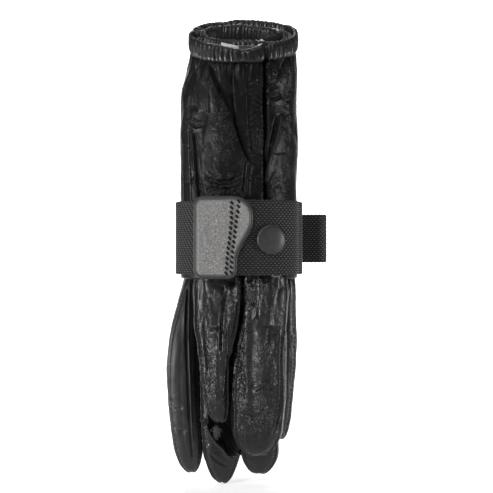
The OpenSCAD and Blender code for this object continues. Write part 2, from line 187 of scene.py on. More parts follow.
def layered(p, size, seed=0):
    """Three layers of noise."""
    size = np.asarray(size, float)
    return (noise(p, size, seed) + 0.5 * noise(p, size / 2.1, seed + 1)
            + 0.25 * noise(p, size / 4.3, seed + 2)) / 1.5


def crease_net(p, size, sharp, seed=0):
    """1 on a web of thin curved lines and 0 away from them."""
    return bell(noise(p, size, seed), sharp)


def ladder(rows, z):
    """Rows of [z, value, ...] read at heights z, on a smooth curve."""
    zs, *columns = np.array(rows, float)[::-1].T
    i = np.clip(np.searchsorted(zs, z) - 1, 0, len(zs) - 2)
    h = zs[i + 1] - zs[i]
    t = np.clip((z - zs[i]) / h, 0, 1)
    out = []
    for v in columns:
        slope = np.gradient(v, zs)
        out.append((2 * t ** 3 - 3 * t ** 2 + 1) * v[i] + (t ** 3 - 2 * t ** 2 + t) * h * slope[i]
                   + (3 * t ** 2 - 2 * t ** 3) * v[i + 1] + (t ** 3 - t ** 2) * h * slope[i + 1])
    return out


# ---------- meshes ----------

def outward(p, rows_closed=False):
    """Unit normals of a grid of points, away from its middle. Its columns close on themselves."""
    across = np.roll(p, -1, axis=1) - np.roll(p, 1, axis=1)
    if rows_closed:
        along = np.roll(p, -1, axis=0) - np.roll(p, 1, axis=0)
    else:
        along = np.gradient(p, axis=0)
    n = np.cross(across, along)
    n /= np.maximum(np.linalg.norm(n, axis=-1, keepdims=True), 1e-9)
    middle = p.mean(axis=0 if rows_closed else 1, keepdims=True)
    return n if (n * (p - middle)).sum() > 0 else -n


def to_frame(p):
    """Bundle millimetres to the model's metres."""
    q = np.array(p, float) * MM
    q[..., 1] += AXIS_Y * MM
    return q


def add_object(name, data):
    obj = bpy.data.objects.new(name, data)
    bpy.context.scene.collection.objects.link(obj)
    return obj


def mesh_object(name, verts, faces, uvs=None, marks=None):
    """A smooth-shaded mesh from points in bundle millimetres. Faces are arrays, one for each size."""
    verts = to_frame(np.asarray(verts, float).reshape(-1, 3))
    mesh = bpy.data.meshes.new(name)
    sizes = np.concatenate([np.full(len(f), f.shape[1]) for f in faces]).astype(np.int32)
    loops = np.concatenate([f.ravel() for f in faces]).astype(np.int32)
    starts = np.concatenate([[0], np.cumsum(sizes)[:-1]]).astype(np.int32)
    mesh.vertices.add(len(verts))
    mesh.vertices.foreach_set("co", verts.astype(np.float32).ravel())
    mesh.loops.add(len(loops))
    mesh.loops.foreach_set("vertex_index", loops)
    mesh.polygons.add(len(sizes))
    mesh.polygons.foreach_set("loop_start", starts)
    mesh.polygons.foreach_set("loop_total", sizes)
    mesh.polygons.foreach_set("use_smooth", np.ones(len(sizes), bool))
    mesh.update(calc_edges=True)
    if uvs is not None:
        layer = mesh.uv_layers.new(name="UVMap")
        layer.data.foreach_set("uv", np.asarray(uvs, np.float32)[loops].ravel())
    for key, values in (marks or {}).items():
        attribute = mesh.attributes.new(key, "FLOAT", "POINT")
        attribute.data.foreach_set("value", np.asarray(values, np.float32).ravel())
    mesh.validate()
    return add_object(name, mesh)


def grid_faces(rows, cols, rows_closed=False):
    """Quads of a grid, and triangles to a point added past each open end."""
    i = np.arange(rows if rows_closed else rows - 1)[:, None]
    j = np.arange(cols)
    up, right = (i + 1) % rows, (j + 1) % cols
    quads = stack(i * cols + j, i * cols + right, up * cols + right, up * cols + j).reshape(-1, 4)
    if rows_closed:
        return quads, np.zeros((0, 3), int)
    first, last = j, (rows - 1) * cols + j
    return quads, np.vstack([stack(rows * cols, np.roll(first, -1), first),
                             stack(rows * cols + 1, last, np.roll(last, -1))])


def grid_uvs(p):
    """Centimetres across and along a grid, at its points."""
    across = np.linalg.norm(np.diff(p, axis=1, append=p[:, :1]), axis=-1)
    u = np.cumsum(across, axis=1) - across
    along = np.linalg.norm(np.diff(p, axis=0, prepend=p[:1]), axis=-1)
    return stack(u, np.cumsum(along.mean(axis=1))[:, None]).reshape(-1, 2) / 10


def grid_object(name, p, rows_closed=False, marks=None):
    """A closed solid from a grid of points: columns close on themselves, and rows close or are capped."""
    quads, tris = grid_faces(*p.shape[:2], rows_closed)
    v, uvs = p.reshape(-1, 3), grid_uvs(p)
    ends = 0 if rows_closed else 2
    if ends:
        v = np.vstack([v, p[0].mean(axis=0), p[-1].mean(axis=0)])
    volume = 0.0
    for f in (quads[:, [0, 1, 2]], quads[:, [0, 2, 3]], tris):
        volume += (v[f[:, 0]] * np.cross(v[f[:, 1]], v[f[:, 2]])).sum()
    if volume < 0:
        quads, tris = quads[:, ::-1], tris[:, ::-1]
    uvs = np.vstack([uvs] + [uvs[:1]] * ends)
    marks = {k: np.concatenate([np.ravel(m), np.zeros(ends)]) for k, m in (marks or {}).items()}
    return mesh_object(name, v, [quads, tris], uvs, marks)


def joined(name, tubes):
    """One object from the (points, quads, triangles) of many tubes."""
    points, quads, tris = zip(*tubes)
    starts = np.cumsum([0] + [len(p) for p in points[:-1]])
    faces = [np.vstack([f + at for f, at in zip(part, starts)]) for part in (quads, tris)]
    return mesh_object(name, np.vstack(points), faces)


def tube(path, radius, sides=8):
    """(points, quads, triangles) of a round tube along a path, with closed, slightly pointed ends."""
    path = np.asarray(path, float)
    n = len(path)
    radius = np.broadcast_to(radius, (n,))
    along = np.gradient(path, axis=0)
    along /= np.linalg.norm(along, axis=1, keepdims=True)
    side = np.cross(along, np.array([0.31, 0.17, 0.93]))
    side /= np.maximum(np.linalg.norm(side, axis=1, keepdims=True), 1e-6)
    up = np.cross(along, side)
    a = whole_turn(sides)[None, :, None]
    ring = side[:, None] * np.cos(a) + up[:, None] * np.sin(a)
    points = (path[:, None] + ring * radius[:, None, None]).reshape(-1, 3)
    tips = np.vstack([path[0] - along[0] * radius[0] * 0.5, path[-1] + along[-1] * radius[-1] * 0.5])
    return np.vstack([points, tips]), *grid_faces(n, sides)


# ---------- material building ----------

class Nodes:
    """A material's node tree, with short calls for the nodes this scene uses."""

    def __init__(self, name):
        self.material = bpy.data.materials.new(name)
        self.material.use_nodes = True
        self.tree = self.material.node_tree
        self.shader = self.tree.nodes["Principled BSDF"]

    def add(self, kind, links=None, **values):
        """A new node, with its sockets and its settings."""
        node = self.tree.nodes.new(kind)
        for key, value in values.items():
            setattr(node, key, value)
        for key, value in (links or {}).items():
            self.put(node.inputs[key], value)
        return node

    def put(self, socket, value):
        """Links a socket to another, or sets its value. None leaves it alone."""
        if isinstance(value, bpy.types.NodeSocket):
            self.tree.links.new(value, socket)
        elif value is not None:
            socket.default_value = value

    def math(self, operation, a, b=0.0, clamp=False):
        return self.add("ShaderNodeMath", {0: a, 1: b}, operation=operation, use_clamp=clamp).outputs[0]

    def coords(self, scale=(1, 1, 1), kind="Object"):
        source = self.add("ShaderNodeTexCoord").outputs[kind]
        return self.add("ShaderNodeMapping", {"Vector": source, "Scale": scale}).outputs[0]

    def noise(self, scale, detail=2.0, rough=0.5, vector=None, distortion=0.0):
        links = {"Vector": vector or self.coords(), "Scale": scale, "Detail": detail, "Roughness": rough,
                 "Distortion": distortion}
        return self.add("ShaderNodeTexNoise", links).outputs["Fac"]

    def cells(self, scale, feature="F1", vector=None):
        links = {"Vector": vector or self.coords(), "Scale": scale}
        return self.add("ShaderNodeTexVoronoi", links, feature=feature).outputs["Distance"]

    def mark(self, name):
        """A value that the mesh carries at its points."""
        return self.add("ShaderNodeAttribute", attribute_name=name).outputs["Fac"]

    def ramp(self, value, *stops):
        """A colour for a value, from (value, colour) stops."""
        node = self.add("ShaderNodeValToRGB", {"Fac": value})
        elements = node.color_ramp.elements
        while len(elements) < len(stops):
            elements.new(0.5)
        for element, (at, colour) in zip(elements, stops):
            element.position = at
            element.color = (*colour, 1)
        return node.outputs["Color"]

    def level(self, value, low, high, from_low=0.0, from_high=1.0):
        """The value's range, 0 to 1 if not given, mapped to low to high."""
        links = {"Value": value, "From Min": from_low, "From Max": from_high, "To Min": low, "To Max": high}
        return self.add("ShaderNodeMapRange", links).outputs[0]

    def bump(self, height, strength, distance, normal=None):
        """A normal bent by a height. The distance is in millimetres."""
        links = {"Height": height, "Strength": strength, "Distance": distance * MM, "Normal": normal}
        return self.add("ShaderNodeBump", links).outputs[0]

    def finish(self, colour, rough, normal, specular=0.5, **sockets):
        """Sets the shader's sockets; an underscore stands for a space in a socket's name."""
        sockets.update(Base_Color=colour, Roughness=rough, Normal=normal, Specular_IOR_Level=specular)
        for key, value in sockets.items():
            self.put(self.shader.inputs[key.replace("_", " ")], value)
        return self.material


# Scales of the materials' noise, in lumps for each metre
PATCHES = 70                     # worn and dull patches
CRINKLE = 620                    # creases of the leather's grain
PEBBLES = 1250                   # pebbles of the leather's grain
FUZZ = 2600                      # fibres of webbing, lining and tape
PORES = 3600                     # pores of leather and the moulded texture
TWIST = 4200                     # strands of a thread


def grey(v, warm=0.0):
    """A grey of brightness v, a little reddish where warm is above 0."""
    return (v * (1 + warm), v, v * (1 - warm))


def leather_material(name, shine=0.22, grain=1.0, base=0.003, specular=0.42):
    """Black garment leather: creased and pebbled grain, finer pores, worn glossy and dull patches, and
    painted shade that takes the colour to nearly black inside a marked dent.
    """
    m = Nodes(name)
    stretched = m.coords((1.25, 1.25, 0.8))
    patches = m.noise(PATCHES, 4, 0.62, distortion=0.8)
    worn = m.mark("worn")
    crushed = m.math("ADD", m.level(patches, 0.06, 0.6, 0.47, 0.64), worn, clamp=True)
    crinkle = m.noise(CRINKLE, 3, 0.62, stretched, 0.6)
    cells = m.level(m.cells(PEBBLES, "DISTANCE_TO_EDGE", stretched), 0.0, 1.0, 0.0, 0.16)
    pores = m.noise(PORES)
    normal = m.bump(crinkle, m.math("MULTIPLY", crushed, grain), 0.8)
    normal = m.bump(cells, 0.4 * grain, 0.04, normal)
    normal = m.bump(pores, 0.2 * grain, 0.02, normal)
    # painted shade: inside the marked dent the colour goes to nearly black and the leather turns rough,
    # standing in for shade
    hollow = m.mark("hollow")
    outside_painted_shade = m.math("SUBTRACT", 1.0, hollow, clamp=True)
    colour = m.ramp(m.math("MULTIPLY", patches, outside_painted_shade), (0.0, grey(0.0004)), (0.3, grey(base * 0.75)),
                    (0.5, grey(base)), (0.72, grey(base * 2.0, 0.02)))
    gloss = m.math("ADD", m.level(patches, 0.0, 0.6, 0.34, 0.66), worn, clamp=True)
    rough = m.math("ADD", m.level(gloss, shine + 0.1, shine - 0.05), m.level(cells, 0.12, 0.0))
    rough = m.math("ADD", rough, hollow, clamp=True)
    return m.finish(colour, rough, normal, specular)


def webbing_material():
    """Black nylon webbing: glossy fibres on each raised float, with painted shade darkening the gaps
    between them.
    """
    m = Nodes("webbing_nylon")
    fibres = m.noise(1.0, 2, 0.6, m.coords((6, 60, 1), "UV"))
    fuzz = m.noise(FUZZ, 2, 0.6)
    normal = m.bump(fibres, 0.3, 0.1)
    normal = m.bump(fuzz, 0.15, 0.04, normal)
    raised = m.mark("raised")
    # painted shade: the lower the weave lies, the darker its colour, so the gaps between floats are painted
    # dark
    tone = m.math("MULTIPLY", raised, m.level(fibres, 0.55, 1.2, 0.3, 0.7))
    colour = m.ramp(tone, (0.35, grey(0.0004)), (0.7, grey(0.006)), (1.0, grey(0.06)))
    rough = m.math("ADD", m.level(fibres, 0.4, 0.28), m.level(raised, 0.6, 0.0, 0.5, 0.95), clamp=True)
    return m.finish(colour, rough, normal)


def thread_material(name, base, rough=0.5):
    """Twisted thread of one tone."""
    m = Nodes(name)
    twist = m.noise(TWIST)
    colour = m.ramp(twist, (0.3, grey(base * 0.6)), (0.7, grey(base * 1.4)))
    return m.finish(colour, rough, m.bump(twist, 0.5, 0.08), 0.3)


def plastic_material():
    """Charcoal moulded plastic with a fine spark-eroded texture, slightly rubbed high spots, and painted
    shade on its rim and towards its left edge.
    """
    m = Nodes("tab_plastic")
    texture = m.noise(PORES, 3, 0.7)
    coarse = m.cells(1500)
    rub = m.noise(PATCHES, 4, 0.55, distortion=0.4)
    normal = m.bump(texture, 0.35, 0.03)
    normal = m.bump(coarse, 0.2, 0.03, normal)
    # painted shade: where the mark is low, on the rim and towards the left edge, the colour is darker
    face = m.mark("raised")
    speck = m.math("MULTIPLY", m.noise(2100, 3, 0.7), m.level(face, 0.35, 1.0))
    colour = m.ramp(speck, (0.14, grey(0.02)), (0.36, grey(0.08, 0.02)), (0.5, grey(0.16, 0.02)),
                    (0.64, grey(0.34, 0.02)))
    rough = m.math("ADD", m.level(texture, 0.3, 0.45), m.level(rub, -0.05, 0.05))
    return m.finish(colour, rough, normal)


def snap_material():
    """Matt black enamel over brass, worn a little on the cap."""
    m = Nodes("snap_enamel")
    spots = m.noise(420, 5, 0.6)
    colour = m.ramp(spots, (0.35, grey(0.016)), (0.6, grey(0.024)), (0.85, grey(0.036, 0.03)))
    return m.finish(colour, m.level(spots, 0.36, 0.46), m.bump(m.noise(FUZZ), 0.12, 0.04), 0.4)


def lining_material():
    """Dark brown knitted fleece lining."""
    m = Nodes("lining_fleece")
    loops = m.cells(1300)
    fuzz = m.noise(FUZZ, 3, 0.7)
    colour = m.ramp(fuzz, (0.3, (0.018, 0.014, 0.012)), (0.55, (0.05, 0.038, 0.03)),
                    (0.8, (0.15, 0.12, 0.095)))
    normal = m.bump(fuzz, 0.8, 0.3, m.bump(loops, 0.7, 0.35))
    return m.finish(colour, 0.9, normal, Sheen_Weight=0.6, Sheen_Roughness=0.6)


def label_material():
    """Plain white satin label tape with a woven edge."""
    m = Nodes("label_tape")
    weave = m.noise(FUZZ, vector=m.coords((1, 1, 3)))
    colour = m.ramp(weave, (0.3, (0.62, 0.61, 0.58)), (0.7, (0.85, 0.84, 0.81)))
    return m.finish(colour, 0.55, m.bump(weave, 0.4, 0.08), Sheen_Weight=0.3)


LEATHER = leather_material("leather_grained")
LEATHER_HAND = leather_material("leather_hand", shine=0.24, specular=0.14)
LEATHER_SMOOTH = leather_material("leather_smooth", shine=0.38, grain=0.5, base=0.005)
LEATHER_CUFF = leather_material("leather_cuff", shine=0.24, grain=0.35, base=0.0025)
WEBBING = webbing_material()
THREAD = thread_material("thread_black", 0.03)
TAB_THREAD = thread_material("tab_thread_black", 0.001, 0.8)
PLASTIC = plastic_material()
ENAMEL = snap_material()
LINING = lining_material()
FLUFF = thread_material("lining_fluff", 0.13, 0.9)
LABEL = label_material()


def dress(obj, material, body=None, replaces=()):
    """Gives a piece its material, its body and the CAD nodes it stands for."""
    obj.data.materials.append(material)
    if body:
        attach(obj, body)
    if replaces:
        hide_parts(*replaces)


# ---------- the bundle's section ----------

def oval(angle, rx, ry):
    """Points on the oval section at angles in degrees."""
    c, s = np.cos(np.radians(angle)), np.sin(np.radians(angle))
    return rx * signed_power(c, 2 / ROUND), ry * signed_power(s, 2 / ROUND)


def front_angle(x, off):
    """Angle on the front of the strap where its path, off mm out, has this x."""
    return 270 + math.copysign(math.degrees(math.asin((abs(x) / (STRAP_RX + off)) ** (ROUND / 2))), x)


def lean(z, y):
    """Height of a point of level z: the upper levels lean up to the slanted rim."""
    return z + RIM_SLOPE * y * smooth((z - SLANT_FROM) / (CUFF_FOOT - SLANT_FROM))


def narrow(x, z):
    """The bundle is drawn in a little at the top left, below the cuffs."""
    return x * (1 - 0.15 * smooth((z - 74) / 24) * smooth(-x / 22))


def tube_ring(a0, a1, half, inset, n, end):
    """n angles and offsets round the folded glove's flat tube, evenly spaced along it.

    The tube runs from angle a0 to a1, is 2 * half thick and stops inset mm short of both angles, and its
    ends are rounded over a length of end mm."""
    turn = math.copysign(1, a1 - a0) * 360 / FULL_TURN
    length = abs(a1 - a0) / 360 * FULL_TURN - 2 * inset
    t = np.linspace(0, np.pi / 2, 14)
    near = end * (1 - np.cos(t))
    d = np.concatenate([near, np.linspace(end, length - end, 90)[1:-1], length - near[::-1]])
    e = np.minimum(d, length - d)
    off = half * (1 - np.clip(1 - e / end, 0, 1) ** 2.3) ** (1 / 2.3)
    angle = a0 + turn * (inset + d)
    angle = np.concatenate([angle, angle[-2:0:-1]])
    off = np.concatenate([off, -off[-2:0:-1]])
    x, y = oval(angle, MID_RX + off, MID_RY + off)
    line = stack(x, y, angle, off)
    line = np.vstack([line, line[:1]])
    at = run_length(line[:, :2])
    return read_line(line[:, 2:], at, np.linspace(0, at[-1], n + 1)[:-1]).T


def tube_grid(rows, n, end):
    """Points, angles, offsets and levels of a stack of tube rings. Rows are [z, a0, a1, half, inset]."""
    points, angles, offs = [], [], []
    for z, a0, a1, half, inset in rows:
        a, o = tube_ring(a0, a1, half, inset, n, end)
        x, y = oval(a, MID_RX + o, MID_RY + o)
        points.append(stack(narrow(x, z), y, lean(z, y)))
        angles.append(a)
        offs.append(o)
    level = np.repeat(np.array([r[0] for r in rows], float)[:, None], n, axis=1)
    return np.array(points), np.array(angles), np.array(offs), level


# ---------- leather folds, drawn as lines in the front view ----------

def beside(x, z, path):
    """Distance of points to a line (positive on its right, going down) and the share along it."""
    best = np.full(x.shape, 1e9)
    side = np.ones(x.shape)
    share = np.zeros(x.shape)
    total = len(path) - 1
    for k in range(total):
        a, b = path[k], path[k + 1]
        d = b - a
        t = np.clip(((x - a[0]) * d[0] + (z - a[1]) * d[1]) / (d @ d), 0, 1)
        gx, gz = x - a[0] - t * d[0], z - a[1] - t * d[1]
        dist = np.hypot(gx, gz)
        closer = dist < best
        best = np.where(closer, dist, best)
        side = np.where(closer, np.where(gz * d[0] - gx * d[1] >= 0, 1.0, -1.0), side)
        share = np.where(closer, (k + t) / total, share)
    return best * side, share


class Sculpt:
    """Collects moves of a grid's points along their normals and across the front view."""

    def __init__(self, points, facing=-1.0, weight=1.0):
        self.p = points
        self.n = outward(points)
        self.h = np.zeros(points.shape[:2])
        self.side = np.zeros(points.shape[:2] + (2,))
        self.front = smooth((facing * self.n[..., 1] - 0.05) / 0.35) * weight
        # marks the dent where shade is painted into the colour
        self.hollow = np.zeros(points.shape[:2])
        self.worn = np.zeros(points.shape[:2])

    def line(self, points, fade=0.14, reach=9.0):
        """Where this line's effect lies: (mask, distance, strength)."""
        path = through(points, max(8, 4 * len(points)))
        low, high = path.min(axis=0) - reach, path.max(axis=0) + reach
        x, z = self.p[..., 0], self.p[..., 2]
        near = (x > low[0]) & (x < high[0]) & (z > low[1]) & (z < high[1]) & (self.front > 0)
        d, t = beside(x[near], z[near], path)
        ends = smooth(t / fade) * smooth((1 - t) / fade) if fade else np.ones(t.shape)
        return near, d, ends * self.front[near]

    def groove(self, points, depth, width, rim=0.3, fade=0.14):
        """A groove along a line, with a raised rim on both sides."""
        near, d, w = self.line(points, fade, 5 * width + 2)
        self.h[near] += w * (-depth * bell(d, width) + rim * depth * bell(np.abs(d) - 2.1 * width, width))

    def ridge(self, points, height, width, fade=0.1):
        self.groove(points, -height, width, 0.0, fade)

    def fold(self, points, over, under, side=-1, reach=(5.0, 4.0), tuck=1.0, fade=0.16):
        """Leather folded over itself along a line. side is -1 where the left part lies on top."""
        near, d, w = self.line(points, fade, 3 * max(reach))
        d = d * side
        upper = 0.5 + 0.5 * np.tanh(d / 0.3)
        top = over * np.exp(-np.abs(d) / reach[0])
        low = -under * np.exp(-np.abs(d) / reach[1])
        self.h[near] += w * (upper * top + (1 - upper) * low)
        path = through(points, 12)
        run = path[-1] - path[0]
        across = np.array([-run[1], run[0]]) / np.linalg.norm(run) * side
        push = w * tuck * bell(d - 0.5, 1.1) * upper
        self.side[near] -= push[:, None] * across[None]

    def crumple(self, amount, size, sharp, seed, where=1.0):
        """Thin creases."""
        self.h -= amount * crease_net(self.p, size, sharp, seed) * where

    def swell(self, amount, size, seed, where=1.0):
        """Soft bulges and dents."""
        self.h += amount * layered(self.p, size, seed) * where

    def crush(self, place, depth, size, seed):
        """Worn leather, crumpled finely, where place is above 0."""
        where = np.clip(place, 0, 1.3) * self.front
        self.crumple(depth, size, 0.2, seed, where)
        self.swell(0.7 * depth, (2.0, 2.0, 2.2), seed + 1, where)
        self.worn = np.maximum(self.worn, np.clip(where, 0, 1))

    def marks(self):
        """What the leather's material reads at each point: one mark paints shade into the colour inside a
        dent, the other marks worn leather.
        """
        return {"hollow": self.hollow, "worn": self.worn}

    def result(self):
        """The moved points."""
        q = self.p + self.n * self.h[..., None]
        q[..., 0] += self.side[..., 0]
        q[..., 2] += self.side[..., 1]
        return q


def blob(p, centre, size):
    """1 at a centre (x, z) and 0 a size (x, z) away."""
    return np.exp(-((p[..., 0] - centre[0]) / size[0]) ** 2 - ((p[..., 2] - centre[1]) / size[1]) ** 2)


def blobs(p, *rows):
    """Sum of blobs. Rows are (x, z, x size, z size, height)."""
    return sum(height * blob(p, (x, z), (wide, tall)) for x, z, wide, tall, height in rows)


# ---------- hand parts ----------

SPAN = {"front": (176.0, 294.4), "rear": (165.0, -65.1)}   # start and end angle of a glove's tube
FOOT_END = {"front": 268.0, "rear": -84.0}                # end angle inside the strap
PITCH = {"front": 0.46, "rear": 0.56}                     # distance of the mesh's points


def spans(glove, z):
    """Start and end angle of a glove's tube at level z."""
    start, end = SPAN[glove]
    low = FOOT_END[glove]
    return start, low + (end - low) * float(smooth((z + 18) / 38))


def around(glove):
    """Length round a glove's flat tube."""
    start, end = SPAN[glove]
    return 2 * abs(end - start) / 360 * FULL_TURN + 4 * WALL


def gathers(angle, level, seed, count):
    """Pleats that run down from the elastic and fade out."""
    rng = np.random.default_rng(seed)
    s = angle / 360 * FULL_TURN
    t = CUFF_FOOT - level
    total = np.zeros(s.shape)
    for k in range(count):
        at = s.min() + (s.max() - s.min()) * (k + rng.uniform(0.1, 0.9)) / count
        long, drift = rng.choice([7, 11, 16, 26]) * rng.uniform(0.8, 1.2), rng.uniform(-0.16, 0.16)
        width, depth = rng.uniform(0.35, 0.75), rng.uniform(0.35, 0.8)
        fade = smooth(1 - t / long)
        total -= depth * fade * bell(s - at - drift * t, width * (1 + t / 30))
    return total


def hand_grid(glove):
    """Base grid of a glove's hand part, from its foot to its inner floor below the mouth."""
    top = CUFF_FOOT + 1.2
    step = 0.5 if glove == "front" else 0.6
    rows = [(FOOT_Z, *spans(glove, FOOT_Z), 1.0, 4.0), (FOOT_Z, *spans(glove, FOOT_Z), 3.6, 1.2)]
    for z in np.arange(FOOT_Z + 0.5, top, step):
        pinch = 0.9 * smooth((z - top + 6) / 6) - 0.35 * bell(z - top + 13, 7)
        rows.append((z, *spans(glove, z), WALL - pinch, 0.0))
    rows += [(top, *spans(glove, top), 3.6, 1.0), (top - 6, *spans(glove, top), 3.3, 1.6),
             (top - 24, *spans(glove, top), 3.2, 1.6), (top - 27, *spans(glove, top), 1.0, 3.6)]
    return tube_grid(rows, int(around(glove) / PITCH[glove]), 2.0)


def front_hand():
    """The front glove's hand, with its folds as they lie in the front view."""
    p, angle, off, level = hand_grid("front")
    s = Sculpt(p, weight=(off > -0.5))
    upper = smooth((level - 17) / 8)
    s.h += gathers(angle, level, 3, 30) * upper
    s.swell(0.75, (13, 13, 22), 5, upper)
    s.swell(0.14, (4.5, 4.5, 6), 9, upper)
    s.crumple(0.2, (8, 8, 15), 0.09, 21, upper)
    # the long folds of the back of the hand
    s.fold([(-20.2, 91), (-20.8, 82.5), (-21.3, 75.6), (-21.3, 70.6), (-20.6, 64.3)],
           0.9, 1.9, 1, (5, 3))
    s.groove([(-24.5, 60.5), (-22.9, 58.2), (-21.3, 57.2), (-18, 57.9)], 0.7, 0.7)
    s.fold([(-15.8, 90), (-14.5, 82.6), (-12.2, 76.5), (-9.5, 71.7), (-6.4, 66.4), (-3.5, 60.1),
            (-1.2, 50.9), (2.0, 42.2), (4.3, 38.5), (7.8, 36.4)], 1.5, 2.2, -1, (8, 4.5), 1.3, 0.1)
    s.fold([(-2.6, 87), (-2.4, 73.3), (-1.8, 66.0), (-1.7, 61.0), (-0.9, 53.7)],
           0.5, 2.0, 1, (3, 2.2), 0.7)
    s.fold([(3.2, 88), (3.6, 75.2), (3.9, 66.4), (4.6, 54.2), (5.3, 45.0), (6.2, 38)],
           0.8, 1.0, -1, (3, 3), 0.6)
    s.groove([(2.9, 40.5), (3.2, 35.9), (2.5, 28.9), (2.0, 20)], 1.0, 0.5, 0.3)
    s.ridge([(5.9, 42.2), (6.2, 35.9), (5.3, 31.3), (4.8, 20)], 0.55, 0.9)
    # the stitched point at the left, with its sunk line beside it
    s.ridge([(-23.9, 55.5), (-23.0, 42.2), (-22.1, 28.9), (-20.6, 18)], 0.8, 0.6, 0.05)
    s.groove([(-22.4, 55), (-21.6, 42.2), (-20.8, 28.9), (-19.4, 18)], 0.9, 0.6, 0.2, 0.08)
    # the puckered seam strip at the right
    strip = smooth((p[..., 0] - 5) / 1.5) * smooth((level - 20) / 6) * smooth((93 - level) / 8)
    strip = strip * (off > 0) * s.front
    bow = p[..., 2] + 0.05 * (p[..., 0] - 9) ** 2 + 1.2 * noise(p, 9, 31)
    s.h += strip * 0.38 * np.sin(bow * 2 * np.pi / 2.6) * smooth(noise(p, (3, 3, 5), 33) + 0.55)
    # wrinkles pressed in above the strap and the shiny bulge beside the long fold
    s.groove([(-17.6, 31.3), (-12.0, 28.6), (-5.4, 28.1), (0.7, 31.3)], 0.75, 0.9, 0.55)
    s.groove([(-14, 25.6), (-9, 24.2), (-4, 24.8)], 0.5, 0.7, 0.6)
    s.groove([(-6.4, 28.5), (-6.0, 22)], 0.5, 0.5, 0.6)
    rough = blobs(p, (-7, 26, 12, 6, 1), (-7, 52, 5, 16, 1), (9, 48, 4, 18, 0.6))
    s.crush(rough * upper, 0.5, (3.2, 3.2, 2.6), 41)
    s.h += 1.1 * blob(p, (-7.5, 50), (5, 14)) * s.front * upper
    return grid_object("front_glove_hand", s.result(), marks=s.marks())


def rear_hand():
    """The rear glove's hand: it shows at the front right, on both sides and at the back."""
    p, angle, off, level = hand_grid("rear")
    s = Sculpt(p, weight=(off > -0.5))
    upper = smooth((level - 17) / 8)
    s.h += gathers(angle, level, 8, 66) * upper
    s.swell(0.8, (14, 14, 24), 6, upper)
    s.swell(0.16, (4.5, 4.5, 6), 10, upper)
    s.crumple(0.22, (9, 9, 16), 0.09, 22, upper)
    # front right: the plane between the cuff and the stitched point
    s.fold([(25.2, 92.6), (22.2, 85.3), (18.5, 76.5), (16.8, 73)], 0.9, 1.2, 1, (3, 4), 0.7)
    s.groove([(12.9, 79), (15.5, 76.8), (18.5, 75.2)], 0.6, 0.7, 0.5)
    s.groove([(14, 73), (18, 72.2), (22, 74)], 0.8, 1.2, 0.4)
    point = [(22.6, 63.8), (19.9, 52.8), (17.2, 44.0), (15.3, 38.5), (13.6, 27)]
    s.ridge(point, 1.0, 0.65, 0.04)
    s.groove([(x - 1.7, z) for x, z in point], 1.5, 1.1, 0.35, 0.1)
    s.fold([(27, 98), (27.4, 84), (27.2, 66), (27.4, 50)], 0.6, 0.9, -1, (3, 2.5), 0.5)
    s.h += 0.9 * blob(p, (16, 85), (4, 8)) * s.front
    rough = blobs(p, (15, 85, 5, 9, 1), (18, 26, 8, 8, 0.6), (25, 60, 2, 30, 0.5))
    s.crush(rough * upper, 0.4, (2.8, 2.8, 3.4), 44)
    # side and back: raised points and long soft folds
    side = Sculpt(p, 1.0, (off > -0.5))
    for x, z0, z1 in ((14, 64, -14), (0, 66, -14), (-13, 62, -14)):
        line = [(x * 1.15, z0), (x, (z0 + z1) / 2), (x * 0.95, z1)]
        side.ridge(line, 0.8, 0.65, 0.04)
        side.groove([(a + 1.5, b) for a, b in line], 0.6, 0.8, 0.3, 0.08)
    side.fold([(-8, 96), (-7, 80), (-3, 68), (2, 58)], 0.7, 1.2, -1, (5, 4), 0.8)
    side.fold([(20, 98), (17, 84), (12, 74), (9, 60)], 0.7, 1.2, 1, (5, 4), 0.8)
    side.groove([(-18, 44), (-10, 40), (0, 41), (8, 45)], 0.5, 1.0, 0.6)
    side.groove([(-4, 30), (6, 27), (16, 29)], 0.5, 0.9, 0.6)
    s.h += side.h
    s.side += side.side
    return grid_object("rear_glove_hand", s.result(), marks=s.marks())


# ---------- cuffs ----------

RIB = 2.1                        # mean width of a cuff's ribs
# (distance from the glove's middle line, height over the cuff's foot) round the roll
CUFF_SECTION = [
    (4.3, -0.6), (5.2, 0.3), (5.55, 2.2), (5.6, 5), (5.45, 7.2), (4.8, 8.4), (3.9, 8.5), (3.2, 7.6),
    (2.8, 5.6), (2.7, 3.2), (3.0, 1.0), (3.5, -0.6)]


def rib_wave(s, seed):
    """Puffy ribs of uneven width along s: 1 on a rib and 0 in the gather between two."""
    rng = np.random.default_rng(seed)
    low = s.min() - 5
    edges = low + np.concatenate([[0], np.cumsum(rng.uniform(0.62, 1.45, 200) * RIB)])
    k = np.clip(np.searchsorted(edges, s) - 1, 0, len(edges) - 2)
    f = (s - edges[k]) / (edges[k + 1] - edges[k])
    height = rng.uniform(0.65, 1.15, len(edges))
    return np.sin(np.pi * np.clip(f, 0, 1)) ** 0.62 * height[k]


